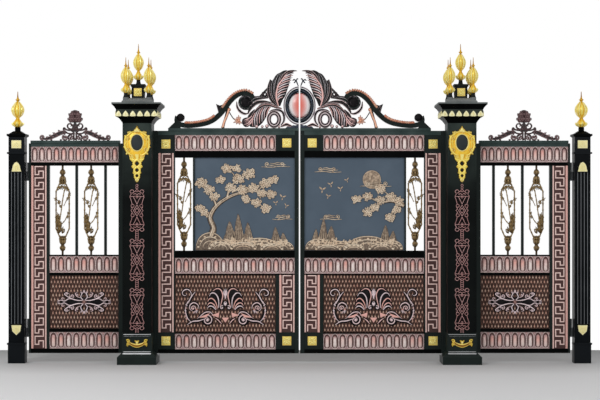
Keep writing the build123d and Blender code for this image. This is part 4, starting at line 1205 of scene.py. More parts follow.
# %% Mouldings
mouldings = Casting()
die_low, die_high, panel_reach, die_face = 131.0, 311.0, 142.0, 153.0
slope_head, slope_face, slope_reach = 111.0, 166.0, 146.0
for level, out, radius, reach in (
        (die_high, die_face, 2.8, panel_reach), (die_high - 18, die_face, 2.2, panel_reach - 8),
        (die_low, die_face, 3.2, panel_reach), (slope_head, slope_face, 6.5, slope_reach)):
    rod(mouldings, [(-reach, level, out), (reach, level, out)], [radius])
for across in (panel_reach, -panel_reach):
    rod(mouldings, [(across, die_low, die_face), (across, die_high, die_face)], [2.0])
make_piece("plinth_mouldings", mouldings, gate_faces, "posts", silver_trim)
reeds, flute_pitch = Casting(), 34.0
flute_low, flute_high, flute_floor = 412.0, 1992.0, end_half - 2
for n in range(4):
    across = flute_pitch * (n - 1.5)
    rod(reeds, [(across, flute_low, flute_floor), (across, flute_high, flute_floor)], [3.4])
make_piece("end_post_reeds", reeds, end_faces, "posts", dull_steel)

# %% [markdown]
# ## Crest of the tall leaves
# Each tall leaf carries half of one great crest: a scrolled bar edged with copper scales, a standing plume,
# a lying plume with hanging barbs, a ring scroll and half of an oval orb. The bar keeps its solid. The
# plumes are built blade by blade, the way a pattern maker would carve them: a rubbed midrib, lobes with
# raised edges and dark hollows on its outer side, and curved barbs on its inner side. Everything starts at
# the leaf's middle plane, so the copies for the two faces meet back to back and the casting is whole from
# behind too.

# %% Blades
coping_top = node_box("left_leaf_rails")[1][2]


def raised(points, level):
    """Points whose heights are measured from a level."""
    return [(across, level + up) for across, up in points]


def blade(casting, points, widths, height, section=ROUND, out=0.0, tone=0.5, rub=1.0, steps=4):
    """A bar of changing width along a smooth line through a few points, which start at the coping."""
    line = smooth_line(points, steps) if len(points) > 2 else np.array(points, float)
    sweep(casting, line + (0, coping_top), widths, height, section, out, tone, rub=rub)


# %% Standing plume
foliage = Casting()
plume_ground = [(210, 232), (262, 262), (300, 300), (318, 360), (322, 430), (318, 490), (304, 512),
                (286, 500), (262, 540), (236, 570), (206, 584), (180, 600), (144, 611), (112, 602),
                (60, 600), (84, 570), (96, 520), (112, 450), (136, 380), (150, 340), (176, 300), (196, 250)]
plate(foliage, smooth_line(raised(plume_ground, coping_top), 2, closed=True), 8, 2, 0, 0.5, 0.02, 0.05)
for points, widths, tone in (
        ([(232, 232), (288, 284), (318, 350), (326, 430), (308, 514)], [12, 30, 34, 28, 8], 0.5),
        ([(230, 250), (266, 316), (284, 390), (282, 466), (258, 538)], [10, 24, 30, 26, 8], 1.0),
        ([(236, 320), (250, 400), (244, 470), (220, 540), (190, 586)], [10, 24, 34, 30, 8], 1.0),
        ([(228, 430), (206, 490), (174, 548), (138, 584), (118, 608)], [12, 22, 28, 22, 8], 0.8),
        ([(196, 500), (160, 556), (118, 594), (70, 604), (26, 604)], [20, 26, 24, 18, 5], 0.1)):
    blade(foliage, points, widths, 15, EDGED, 5, tone, 0.9)
blade(foliage,
      [(220, 232), (240, 298), (243, 352), (235, 405), (219, 454), (187, 502), (155, 548), (122, 580)],
      [16, 28, 28, 24, 20, 14, 8], 24, ROUND, 4, 0.0)
for n in range(10):
    t = n / 9
    root = np.array([(238, 300), (243, 352), (235, 405), (219, 454), (187, 502), (160, 540)])
    start = np.array([np.interp(t, np.linspace(0, 1, 6), root[:, k]) for k in (0, 1)])
    tips = np.array([(172, 330), (140, 386), (112, 440), (90, 492), (74, 540), (60, 584)])
    end = np.array([np.interp(t, np.linspace(0, 1, 6), tips[:, k]) for k in (0, 1)])
    middle = (start + end) / 2 + (12, -4)
    blade(foliage, [start - (0, 34 * (1 - t)), middle, end], [14, 19, 7], 16, ROUND, 4,
          0.15 + 0.75 * (n % 2), 0.95, 5)

# %% [markdown]
# The lying plume has the same blades, but its barbs hang free over the coping, so between them the white of
# the day shows through. At its end it swells into a bud beside an orange flower, and behind it the ring
# scroll and a C-scroll fill the corner next to the orb.

# %% Lying plume
for points, widths, tone in (
        ([(186, 206), (246, 224), (310, 245), (366, 246), (420, 220), (464, 176), (500, 146)],
         [14, 30, 40, 42, 38, 30, 10], 0.9),
        ([(306, 274), (372, 280), (440, 272), (490, 240), (524, 196), (544, 150)], [10, 30, 40, 40, 32, 10],
         0.4),
        ([(330, 318), (400, 316), (460, 304), (506, 276), (540, 226)], [8, 26, 34, 30, 10], 0.9),
        ([(262, 262), (320, 268), (380, 262), (430, 240)], [6, 16, 16, 6], 0.1),
        ([(470, 196), (506, 156), (530, 120), (548, 84)], [14, 34, 34, 12], 0.3)):
    blade(foliage, points, widths, 20, EDGED, 2, tone, 0.95)
blade(foliage, [(186, 206), (246, 226), (310, 248), (366, 250), (420, 226), (470, 180)], [8, 12, 12, 10, 5],
      25, ROUND, 2, 0.1)
lying_ground = [(316, 232), (366, 250), (420, 222), (470, 178), (510, 120), (516, 60), (520, 18), (470, 14),
                (440, 18), (418, 34), (396, 52), (376, 80), (352, 120), (330, 180)]
ground_line = smooth_line(raised(lying_ground[::-1], coping_top), 2, closed=True)
plate(foliage, ground_line[::-1], 7, 2, 0, 0.5, 0.05, 0.15)
barbs = (
    ((300, 236), (330, 190), (350, 130)), ((330, 232), (364, 180), (372, 96)),
    ((356, 226), (390, 160), (394, 70)), ((384, 216), (418, 140), (420, 50)),
    ((412, 202), (446, 120), (444, 36)), ((438, 186), (470, 110), (468, 26)),
    ((462, 168), (494, 96), (492, 20)))
for n, (root, bend, tip) in enumerate(barbs):
    blade(foliage, [root, bend, tip], [12, 16, 16, 10], 18, ROUND, 0, (n % 3) / 2, 1.0, 5)
bud = [(476, 128), (500, 76), (530, 22), (572, 14), (602, 48), (602, 92), (570, 112), (530, 116)]
dome(foliage, smooth_line(raised(bud, coping_top), 3, closed=True), 22, 0, 0.0, 3, 0.1, 0.55)
for points in ([(482, 122), (512, 84), (540, 52), (580, 40)], [(500, 128), (544, 96), (584, 84)],
               [(486, 96), (516, 50), (556, 22)]):
    blade(foliage, points, [10, 22, 8], 27, ROUND, 0, 0.2, 1.0)
for half_width, half_height, width, tone in ((42, 54, 24, 0.8), (66, 80, 26, 0.6)):
    sweep(foliage, round_outline(268, coping_top + 94, half_width, half_height, 28), [width], 18, GUTTER, 0,
          tone, closed=True)
blade(foliage, [(318, 176), (280, 190), (222, 192), (178, 168), (162, 118), (168, 70), (198, 30)],
      [8, 24, 32, 32, 30, 26, 12], 16, GUTTER, 0, 0.9)
blade(foliage, [(196, 16), (142, 40), (104, 30), (60, 14)], [14, 36, 26, 8], 16, GUTTER, 0, 0.2)
for across, up, radius in ((343, 22, 20), (392, 18, 15), (450, 20, 19), (214, 16, 15)):
    dome(foliage, circle(across, coping_top + up, radius, 10), radius, 0, 0.3, 3, 0.0, 0.9)
for points in ([(322, 432), (370, 384), (420, 330)], [(386, 380), (386, 330)], [(336, 420), (336, 320)],
               [(330, 326), (430, 326)], [(362, 398), (362, 370)]):
    blade(foliage, points, [20, 20], 12, ROUND, 0, 0.9, 0.2)
for across, up, radius in ((340, 342, 17), (362, 356, 16), (390, 338, 16)):
    sweep(foliage, circle(across, coping_top + up, radius, 12), [13], 12, ROUND, 0, 0.9, True, 0.3)
blade(foliage, [(524, 322), (500, 320), (470, 326), (424, 336)], [12, 28, 30, 12], 14, GUTTER, 0, 0.9, 0.8)
blade(foliage, [(661, 282), (654, 222), (622, 176), (574, 152), (530, 160)], [8, 28, 34, 28, 8], 17, GUTTER,
      0, 0.6)
make_pair("crest_plumes", foliage, "leaf", crest_copper, "leaf_crest_foliage")

# %% [markdown]
# ### Flower, leg and scales
# The scrolled bar's upper edge is set with small overlapping scales in orange copper. They follow the bar's
# own centre line at a fixed distance. A leg, a thin branch and a spiked flower stand between the bar and
# the plume.

# %% Scales and flower
bar_line = smooth_line([(1296, 70), (1240, 38), (1150, 30), (1045, 41), (940, 70), (856, 128), (782, 212),
                        (719, 296), (646, 354), (562, 372), (499, 338)], 12)
bar_steps = np.linalg.norm(np.diff(bar_line, axis=0), axis=1)
bar_run = np.concatenate([[0], np.cumsum(bar_steps)])
scales, scale_pitch = Casting(), 19.0


def scale_row(start, end):
    """Overlapping scales along the bar's upper edge between two shares of its length."""
    count = int((end - start) * bar_run[-1] / scale_pitch)
    for n in range(count):
        run = (start + (end - start) * (n + 0.5) / count) * bar_run[-1]
        here = np.array([np.interp(run, bar_run, bar_line[:, k]) for k in (0, 1)])
        ahead = np.array([np.interp(run + 4, bar_run, bar_line[:, k]) for k in (0, 1)])
        along = (ahead - here) / np.linalg.norm(ahead - here)
        square = np.array([along[1], -along[0]]) * (1 if along[0] < 0 else -1)
        square = square if square[1] > 0 or abs(along[1]) > 0.7 else -square
        place = here + square * 15 + (0, coping_top)
        turn = math.degrees(math.atan2(square[1], square[0])) + 34
        lobe(scales, place[0] - along[0] * 8, place[1] - along[1] * 8, 36, 21, turn, 9, 19, draw.random(),
             0.35)


scale_row(0.10, 0.475)
scale_row(0.60, 0.99)
blade(scales, [(744, 190), (764, 130), (790, 70), (806, 12)], [24, 24, 26, 28], 7, ROUND, 14, 0.8)
dome(scales, circle(741, coping_top + 196, 20, 12), 22, 0, 0.3)
dome(scales, round_outline(806, coping_top + 12, 20, 12, 12), 18, 0, 0.8)
for turn in (200, 235, 160, 120, 90, 60, 285, 320):
    lobe(scales, 640, coping_top + 80, 62 if turn in (90, 160, 200) else 48, 20, 180 - turn, 16, 0,
         draw.random())
dome(scales, circle(640, coping_top + 80, 18, 10), 22, 0, 0.5)
dark_trim = Casting()
blade(dark_trim, [(737, 168), (712, 126), (684, 92), (656, 78)], [11, 10, 10], 7, ROUND, 0, 0.3, 0.4)
thorn = [(790, 250), (762, 247), (800, 205), (846, 150), (856, 190), (874, 251), (838, 236)]
plate(dark_trim, raised(thorn[::-1], coping_top), 14, 3, 0, 0.3, 0.2, 0.35)
blade(dark_trim, [(874, 251), (858, 205), (846, 160)], [5, 8, 5], 17, RIDGE, 0, 0.1, 1.0)
for across, up, radius in ((1250, 112, 38), (566, 270, 52)):
    dome(dark_trim, circle(across, coping_top + up, radius, 24), 14, 19, 0.3, 4, 0.05, 0.2)
sweep(dark_trim, spiral((566, coping_top + 270), 60, 200, -1.6, 0.3, 18), [7], 8, ROUND, 22, 0.0, rub=0.42)
sweep(dark_trim, circle(566, coping_top + 270, 68, 30), [10], 8, ROUND, 18, 0.0, closed=True, rub=0.52)
sweep(dark_trim, circle(1250, coping_top + 112, 40, 24), [5], 5, ROUND, 18, 0.0, closed=True, rub=0.5)
make_pair("crest_scales", scales, "leaf", scale_copper)
make_pair("crest_trim", dark_trim, "leaf", rubbed_black)

# %% [markdown]
# ### Orb
# The orb is cut down its middle, half on each leaf. Its rings are swept along half ovals that stop short of
# the gate's middle, and the ball is a shallow shell over the same oval, closed by a flat wall at the cut.

# %% Orb
orb_level, seam = coping_top + 238.0, 7.5


def half_oval(half_width, half_height):
    """Points of the half of an oval that lies outside the seam, from its foot to its head."""
    stop = math.acos(seam / half_width)
    angles = np.linspace(-stop, stop, 30)
    return [(half_width * math.cos(a), orb_level + half_height * math.sin(a)) for a in angles]


orb_rings, orb_band, orb_ball = Casting(), Casting(), Casting()
sweep(orb_rings, half_oval(163, 197), [15], 32, ROUND, 0, 0.5)
sweep(orb_rings, half_oval(148, 180), [8], 25, ROUND, 0, 0.5, rub=0.2)
sweep(orb_rings, half_oval(116, 137), [7], 33, ROUND, 0, 0.5, rub=0.2)
sweep(orb_band, half_oval(132, 159), [34], 27, ROUND, 0, 0.5, rub=0.45)
for points in ([(13, 444), (26, 478), (38, 502)], [(38, 502), (58, 512), (72, 500)],
               [(38, 502), (24, 520), (14, 516)], [(38, 502), (50, 484), (60, 478)]):
    blade(orb_rings, points, [10, 15, 9], 14, ROUND, 0, 0.5, 0.2)
dome(orb_rings, round_outline(38, coping_top + 500, 13, 12, 10), 16, 0, 0.5, 3, 0.1, 0.3)
foot = [(seam, 0), (150, 0), (128, 20), (84, 16), (70, 34), (44, 30), (seam, 40)]
plate(orb_rings, raised(foot, coping_top), 14, 3, 0, 0.5, 0.1, 0.3)

rings, sides = 9, 30
ball_points, ball_rub_and_painted_shade, ball_painted_reflection = [], [], []
for ring in range(rings + 1):
    share = ring / rings
    for n in range(sides + 1):
        angle = math.pi * (n / sides - 0.5)
        across = max(seam, 112 * share * math.cos(angle))
        ball_points.append((across, orb_level + 131 * share * math.sin(angle),
                            22 + 50 * math.sqrt(max(0.0, 1 - share ** 2))))
        # the ball's rub falls towards its top and foot, a painted shade, and its tone turns white towards
        # its outer side, a painted reflection
        ball_rub_and_painted_shade.append(0.9 - 0.8 * abs(math.sin(angle)) ** 2 * share ** 5)
        ball_painted_reflection.append(min(1.0, 1.9 * max(0.0, math.cos(angle)) * share ** 2.6))
for n in range(sides + 1):
    angle = math.pi * (n / sides - 0.5)
    ball_points.append((max(seam, 112 * math.cos(angle)), orb_level + 131 * math.sin(angle), 0))
    ball_rub_and_painted_shade.append(0.3)
    ball_painted_reflection.append(0.0)
row = sides + 1
ball_faces = [(r * row + n, r * row + n + 1, (r + 1) * row + n + 1, (r + 1) * row + n)
              for r in range(rings + 1) for n in range(sides)]
orb_ball.add(ball_points, ball_faces, ball_rub_and_painted_shade)
orb_ball.tone = ball_painted_reflection
make_pair("orb_rings", orb_rings, "leaf", orb_ring, "leaf_crest_orb")
make_pair("orb_band", orb_band, "leaf", orb_blue)
make_pair("orb_ball", orb_ball, "leaf", orb_salmon, sharp=80)
print("foliage", len(foliage.faces), "faces, scales", len(scales.faces))

# %% [markdown]
# ## Crest of the side gates
# The small crest is a cone of overlapping leaves over two pairs of curls, with a leafy arm that slopes down
# each way to a closed volute. It is worked for one side and mirrored, blade by blade.

# %% Side crest
side_top = node_box("left_side_rails")[1][2]
side_middle = centre_x - sum(corner[0] for corner in node_box("left_side_crest")) / 2
half_crest = Casting()


def side_blade(points, widths, height):
    """A blade of the small crest, at its distance from the crest's middle and above the side gate's top."""
    line, widths = smooth_line(points, 4) + (0, side_top), [1.4 * w for w in widths]
    sweep(half_crest, line, widths, height, GUTTER, rub=0.9)


cone_ground = [(0, 188), (30, 190), (56, 194), (66, 212), (66, 246), (58, 280), (42, 304), (22, 318),
               (0, 323)]
neck_ground = [(0, 92), (42, 94), (38, 120), (28, 150), (18, 176), (10, 190), (0, 192)]
for ground in (cone_ground, neck_ground):
    plate(half_crest, raised(ground, side_top), 8, 3, 0, 0.5, 0.0, 0.1)
for row, (level, half, count) in enumerate(
        ((190, 62, 3), (212, 66, 3), (236, 62, 3), (260, 54, 3), (280, 40, 2))):
    for n in range(count):
        share = (n + 0.5 * (row % 2)) / max(1, count - 0.5)
        lobe(half_crest, half * 0.8 * share, side_top + level, 38, 30, 90 - 44 * share, 18 - row, 4,
             draw.random(), 0.35)
lobe(half_crest, 0, side_top + 296, 28, 26, 90, 14, 2, 0.9, 0.3)
side_blade([(0, 126), (34, 120), (66, 128), (80, 152), (70, 174), (52, 176), (38, 164), (46, 148)],
           [10, 14, 13, 11, 10, 8, 6], 16)
side_blade([(0, 132), (22, 150), (34, 172), (52, 184)], [12, 14, 11, 7], 14)
side_blade([(8, 118), (50, 108), (92, 116), (114, 134), (122, 118), (112, 98), (86, 92)],
           [8, 13, 13, 12, 12, 10, 6], 15)
side_blade([(114, 118), (108, 96), (70, 76), (20, 78)], [10, 14, 12, 6], 12)
side_blade([(96, 92), (150, 82), (206, 56), (262, 30), (318, 18), (340, 26)], [22, 34, 34, 28, 18, 12], 14)
for across, up, turn, length in ((150, 84, 44, 44), (196, 62, 30, 50), (236, 44, 22, 46), (270, 30, 14, 40),
                                 (170, 62, -16, 52), (210, 44, -20, 46)):
    lobe(half_crest, across, side_top + up, length, 22, turn, 13, 2, draw.random(), 0.2)
for across, up, radius, start, turns, width, height in (
        (344, 34, 27, 250, 1.2, 19, 15), (104, 32, 31, 60, -1.3, 19, 15), (42, 30, 22, 90, 1.2, 15, 14)):
    curl(half_crest, across, side_top + up, radius, start, turns, width, height, 0, 0.5)
side_blade([(104, 64), (120, 84), (96, 96)], [14, 16, 8], 12)
side_blade([(8, 4), (14, 40), (12, 84), (30, 92)], [16, 14, 12, 6], 15)
side_blade([(20, 76), (52, 62), (72, 40), (66, 10)], [14, 18, 14, 8], 13)
for across in (64, 150, 250, 300):
    dome(half_crest, round_outline(across, side_top + 9, 13, 9, 8), 12, 0, 0.5)
whole_crest = Casting()
whole_crest.stamp(half_crest, side_middle)
whole_crest.stamp(half_crest, side_middle, flip=-1)
make_pair("side_foliage", whole_crest, "side_gate", side_crest_bronze, "side_crest")
print("side crest has", len(whole_crest.faces), "faces")

# %% [markdown]
# ## Rosettes on the corner blocks
# The corner blocks of the tall leaves carry the same rosette as the roof's pedestal, a little larger. Its
# places are read from the boxes of the plain rosettes that it stands for, and its depth from the blocks'
# box, so it sits in the middle of each block's face.

# %% Block rosettes
block_rosettes = Casting()
large_rosette = rosette(94)
surface = (node_box("left_leaf_blocks")[1][1] - node_box("left_leaf_blocks")[0][1]) / 2
for near, far, low, high in sorted({panel[:4] for panel in panels("left_leaf_rosettes")}):
    block_rosettes.stamp(large_rosette, (near + far) / 2, (low + high) / 2, surface)
print("rosettes", len(block_rosettes.faces) // len(large_rosette.faces))
make_pair("block_rosettes", block_rosettes, "leaf", gilding, "leaf_rosettes")

# %% [markdown]
# ## Scroll ornaments
# A scroll ornament sits in the middle of every lattice. It is dark, and only its edges are rubbed to
# silvery pink, so each form is a dark body with one bright ridge rather than an evenly rubbed bar. The
# large one is a pair of fan palmettes between S-scrolls, the small one four crossing C-scrolls round a
# lozenge. The large one is worked for one half and the small one for one quarter, and both are mirrored.

# %% Large scroll ornament
fan_half = Casting()


def trace(casting, points, width, height, tone=0.3, out=0.0):
    """A tapering line with one bright ridge, over a broader dark one."""
    line = smooth_line(points, 4)
    under, ridge = [width * k for k in (1.5, 2.5, 2.5, 1.2)], [width * k for k in (0.6, 1.1, 1.0, 0.4)]
    sweep(casting, line, under, height * 0.5, ROUND, out, tone, rub=0.1)
    sweep(casting, line, ridge, height, ROUND, out, tone)


def eye(casting, across, up, radius, start, turns, width, height, out=0.0, tone=0.3):
    """A curl on a dark ground of its own."""
    plate(casting, circle(across, up, radius + width * 0.7, 18), height * 0.45, 2, out, tone, 0.1, 0.1)
    curl(casting, across, up, radius, start, turns, width * 1.2, height, out, tone)


def body(casting, outline, height=5.0):
    """A dark soft body under the ridges."""
    plate(casting, smooth_line(outline, 2, closed=True), height, 3, 0, 0.5, 0.1, 0.2)


body(fan_half, [(12, 14), (46, 0), (100, -12), (150, -4), (176, 16), (178, 64), (170, 120), (140, 178),
                (98, 196), (46, 196), (18, 150), (16, 80)])
for points in (
        [(52, 8), (36, 70), (26, 130), (48, 182), (88, 192), (128, 168)],
        [(68, 0), (66, 56), (76, 108), (106, 146), (142, 146), (162, 118)],
        [(80, -6), (90, 40), (112, 78), (140, 96), (166, 84), (176, 62)],
        [(90, -12), (110, 28), (140, 50), (166, 44), (180, 20)],
        [(94, -20), (124, 12), (156, 18), (180, 0)]):
    trace(fan_half, points, 15, 9, draw.random(), 2)
trace(fan_half, [(2, 110), (16, 150), (4, 192)], 13, 9, 0.1)
trace(fan_half, [(0, 20), (12, 44), (2, 66)], 12, 9, 0.1)
eye(fan_half, 34, 4, 20, 120, -1.0, 9, 9, 2, 0.2)
for outline in ([(60, -44), (140, -72), (66, -98)], [(150, -50), (244, -84), (266, -98), (190, -96)]):
    plate(fan_half, outline[::-1], 9, 3, 0, 0.9, 0.4, 1.0)
trace(fan_half, [(40, -158), (72, -122), (100, -104)], 13, 8, 0.6)
trace(fan_half, [(116, -86), (150, -44), (204, -46), (250, -84), (282, -108)], 13, 9, 0.3)
eye(fan_half, 180, -122, 50, 100, 1.25, 12, 9, 0, 0.3)
trace(fan_half, [(212, -112), (270, -130), (330, -136), (384, -170)], 15, 8, 0.2)
body(fan_half, [(352, -140), (388, -100), (408, -40), (412, 10), (396, 46), (372, 40), (380, -10),
                (368, -70), (346, -120)])
for n in range(7):
    up = -120 + 26 * n
    across = 366 + 26 * math.sin((n + 1) / 8 * math.pi)
    lobe(fan_half, across, up, 34, 17, 40 + 8 * n, 8, 1, draw.random(), 0.35)
trace(fan_half, [(346, -140), (380, -100), (398, -40), (400, 20)], 12, 9, 0.2)
trace(fan_half, [(264, -6), (276, 32), (316, 52), (352, 30), (356, -10), (330, -32)], 14, 9, 0.3)
eye(fan_half, 322, -2, 26, 200, -1.1, 10, 8, 0, 0.5)
for turn in (150, 190, 230, 290):
    lobe(fan_half, 306, -26, 40, 15, turn, 7, 0, draw.random(), 0.3)
trace(fan_half, [(398, 30), (366, 66), (338, 116), (300, 162)], 15, 9, 0.2)
trace(fan_half, [(338, 116), (346, 156), (366, 180), (396, 184), (426, 164), (428, 136), (404, 122),
                 (386, 136)], 13, 9, 0.2)
fan = Casting()
fan.stamp(fan_half)
fan.stamp(fan_half, flip=-1)
plate(fan, [(38, -96), (0, -150), (-38, -96)][::-1], 9, 3, 0, 0.9, 0.4, 1.0)
dome(fan, round_outline(0, 134, 12, 56, 14), 10, 1, 0.2, 3, 0.2, 0.95)
dome(fan, round_outline(0, 36, 15, 19, 10), 10, 1, 0.2, 3, 0.2, 0.9)

# %% Small scroll ornament
spray_quarter = Casting()
trace(spray_quarter, [(8, 20), (52, 16), (112, 28), (168, 54), (204, 82), (182, 98), (152, 82)], 15, 8, 0.2)
trace(spray_quarter, [(110, 26), (160, 34), (206, 10), (246, 20), (282, 2)], 12, 8, 0.2)
trace(spray_quarter, [(10, 22), (34, 50), (24, 84), (6, 104)], 14, 8, 0.1)
trace(spray_quarter, [(44, 46), (76, 60), (92, 90), (66, 98)], 12, 8, 0.4)
eye(spray_quarter, 126, 62, 20, 250, -1.0, 9, 8, 0, 0.3)
eye(spray_quarter, 226, 34, 16, 200, -1.0, 8, 8, 0, 0.4)
for across, up, length, turn in ((2, 92, 40, 88), (18, 84, 38, 56), (176, 70, 34, 74), (60, 66, 30, 40),
                                 (250, 10, 34, 14), (150, 44, 28, 96)):
    lobe(spray_quarter, across, up, length, 17, turn, 8, 0, 0.2, 0.45)
spray = Casting()
for across_flip in (1, -1):
    for up_flip in (1, -1):
        spray.stamp(spray_quarter, 0, 0, 0, 0 if up_flip > 0 else 180, 1.0, across_flip * up_flip)
sweep(spray, [(0, -22), (22, 0), (0, 22), (-22, 0)], [9], 9, RIDGE, closed=True, tone=0.8)
dome(spray, circle(0, 0, 9, 8), 8, 0, 0.8)
body(spray, [(-150, -30), (150, -30), (250, 0), (150, 30), (0, 50), (-150, 30), (-250, 0), (-150, -30)], 3)

# %% Lay the ornaments on the lattices
for gate, casting, body_name, drop, size in (
        ("leaf", fan, "leaf", 46, 1.05), ("side", spray, "side_gate", 0, 1.0)):
    near, far, low, high, out = panels(f"left_{gate}_lattice")[0]
    placed = Casting()
    placed.stamp(casting, (near + far) / 2, (low + high) / 2 - drop, out + 5, size=size)
    make_pair(f"{gate}_scrolls", placed, body_name, rubbed_black, f"{gate}_ornaments")
    print(gate, "scroll ornament has", len(placed.faces), "faces")

# %% [markdown]
# ## Bamboo balusters
# The balusters in the windows are cast in bronze as bamboo: leafy turned ends, a six-sided frame of canes
# with nodes along them, a stem that leans across the opening with side shoots, hanging leaves at the top
# and a thick clump at the lower corner. Straight rods would look like pipe, so every cane is swept with a
# swelling at each of its nodes.

# %% One baluster
def cane(casting, points, radius, node_pitch=62.0):
    """A bamboo cane through a few points, swollen at its nodes."""
    line = np.array(points, float)
    lengths = np.linalg.norm(np.diff(line, axis=0), axis=1)
    run = np.concatenate([[0], np.cumsum(lengths)])
    count = max(2, int(run[-1] / node_pitch))
    stations, radii = [], []
    for n in range(count):
        for share, swell in ((0.0, 1.35), (0.1, 0.95), (0.5, 0.85), (0.9, 0.95)):
            stations.append((n + share) / count * run[-1])
            radii.append(radius * swell)
    stations.append(run[-1])
    radii.append(radius * 1.3)
    path = [[np.interp(s, run, line[:, k]) for k in range(3)] for s in stations]
    rod(casting, path, radii, 6, draw.random(), 0.85)


def leaf_pair(casting, across, up, turn, size=44):
    """Narrow bamboo leaves that spring from one point."""
    for spread in (-26, 4, 34):
        lobe(casting, across, up, size * (1.1 - abs(spread - 4) / 80), 13, turn + spread, 6, 0,
             draw.random(), 0.3)


def leafy_end(casting, length):
    """Turned and leafy end of a baluster, standing on zero."""
    profile = [(10, 0), (10, 34), (13, 40), (24, 52), (28, 78), (20, 92), (15, 104), (22, 112), (32, 130),
               (33, 152), (24, 160), (36, 168), (36, 176), (26, 184), (30, length)]
    lathe(casting, profile, 16, 0, 0, 0.4, 8, 0.09)
    for level, radius, count, long in ((52, 22, 6, 34), (112, 24, 7, 36), (140, 28, 7, 34),
                                       (176, 28, 8, 26)):
        for n in range(count):
            a = 2 * math.pi * n / count
            line = [(r * radius * math.sin(a), level + u * long, r * radius * math.cos(a))
                    for r, u in ((0.7, 0.0), (1.12, 0.35), (1.3, 0.75), (1.22, 1.0))]
            rod(casting, line, [4, 7, 6, 2], 5, draw.random(), 0.95)


end_length = 196.0


def bamboo_baluster(height):
    """A whole baluster of a height, standing on zero about its own axis."""
    made, leaves, end = Casting(), Casting(), Casting()
    leafy_end(end, end_length)
    made.stamp(end)
    made.stamp(end.remade(lambda a, u, o: (a, height - u, o), inside_out=True))
    half, low, high, shoulder = 69.0, 200.0, height - end_length, 74.0
    for side in (1, -1):
        cane(made, [(side * 34, low - 6, 0), (side * half, low + shoulder, 0)], 8)
        cane(made, [(side * half, low + shoulder, 0), (side * half, high - shoulder, 0)], 8)
        cane(made, [(side * half, high - shoulder, 0), (side * 36, high, 0)], 8)
    middle = height / 2
    shoots = (([(34, 330 - middle), (14, 470 - middle), (-2, 590 - middle), (-20, 690 - middle),
                (-42, high - 30 - middle)], 6.5, None, 0),
              ([(-12, 512 - middle), (-34, 560 - middle), (-64, 622 - middle)], 4.5, (-60, 616), 120),
              ([(16, 540 - middle), (42, 560 - middle), (62, 576 - middle)], 4.5, (58, 572), 30),
              ([(24, 306 - middle), (-26, 362 - middle), (-62, 440 - middle)], 5.5, (-56, 424), 110),
              ([(10, 480 - middle), (30, 512 - middle), (40, 548 - middle)], 4.0, (36, 530), 70))
    for points, radius, tip, turn in shoots:
        cane(made, [(a, middle + u, 0) for a, u in points], radius, 46)
        if tip:
            leaf_pair(leaves, tip[0], tip[1], turn)
            leaf_pair(leaves, tip[0] * 0.9, tip[1] - 10, turn + 150, 36)
    for across, up, turn in ((10, high - 6, -100), (34, high - 16, -70), (-14, high - 10, -110),
                             (-34, high - 22, -80), (-42, high - 40, -130), (20, high - 20, -60)):
        leaf_pair(leaves, across, up, turn, 52)
    for across, up, turn, size in ((52, 246, 110, 70), (40, 222, 100, 78), (60, 290, 96, 80),
                                   (36, 268, 92, 84), (20, 236, 84, 78), (58, 336, 84, 76),
                                   (30, 320, 76, 72), (14, 290, 68, 60), (44, 372, 88, 56),
                                   (8, 222, 120, 60)):
        lobe(leaves, across, up, size, 30, turn, 13, 0, draw.random(), 0.25)
        leaf_pair(leaves, across, up + size * 0.5, turn - 16, 46)
    made.stamp(leaves)
    made.stamp(leaves.remade(lambda a, u, o: (a, u, -o), inside_out=True))
    return made


# %% Set the balusters in the windows
for node, piece_name, body_name in (("left_leaf_baluster", "_leaf_bamboo", "_leaf"),
                                    ("left_side_balusters", "_side_bamboo", "_side_gate")):
    bamboo = Casting()
    for near, far, low, high, out in panels(node):
        one = bamboo_baluster(high - low)
        bamboo.stamp(one, (near + far) / 2, low)
    for half in HALVES:
        make_piece(half + piece_name, bamboo, [(centre_x, leaf_y, HALVES[half], 1)], half + body_name,
                   antique_bronze, replaces=(node.replace("left", half),), sharp=50)
    print(piece_name[1:], "has", len(bamboo.faces), "faces")

# %% [markdown]
# ## Relief panels
# The two large panels carry a low relief of a garden: on one a blossom tree leans over hills, rocks and
# shrubs, on the other a flowering branch hangs before the moon, with clouds and a few birds. The relief has
# to stay below the frame's face, so nothing rises more than sixteen millimetres from the panel. Blossoms
# are grown from a seed: flowers of five petals are scattered in round clusters along the branches, the
# nearer ones a little higher.

# %% Blossoms, clouds and hills
near, far, low, high, panel_out = panels("left_leaf_relief")[0]
edge_margin = 4
print("large panel", round(far - near), "by", round(high - low), "mm")


def flower(radius):
    """A flower of five petals."""
    made = Casting()
    for n in range(5):
        angle = 2 * math.pi * n / 5
        petal = circle(0.55 * radius * math.cos(angle), 0.55 * radius * math.sin(angle), 0.5 * radius, 5)
        dome(made, petal, 4.0, rings=1, edge_rub=0.15, top_rub=0.95)
    dome(made, circle(0, 0, 0.26 * radius, 5), 4.5, rings=1, edge_rub=0.1, top_rub=0.4)
    return made


one_flower = flower(19.0)


def blossoms(casting, across, up, radius, out):
    """A round cluster of flowers with a few leaves at its edge."""
    for n in range(7):
        turn = draw.uniform(0, 360)
        a, b = math.cos(math.radians(turn)), math.sin(math.radians(turn))
        lobe(casting, across + a * radius * 0.7, up + b * radius * 0.6, 30, 15, turn, 4, out + 1,
             draw.random(), 0.3)
    radius *= 1.14
    count = int(radius / 4.9)
    for n in range(count):
        angle = 2.4 * n
        reach = radius * 0.86 * math.sqrt(n / count)
        casting.stamp(one_flower, across + reach * math.cos(angle), up + 0.8 * reach * math.sin(angle),
                      out + 6 - 4 * reach / radius, draw.uniform(0, 72), draw.uniform(0.85, 1.15),
                      tone=draw.random())


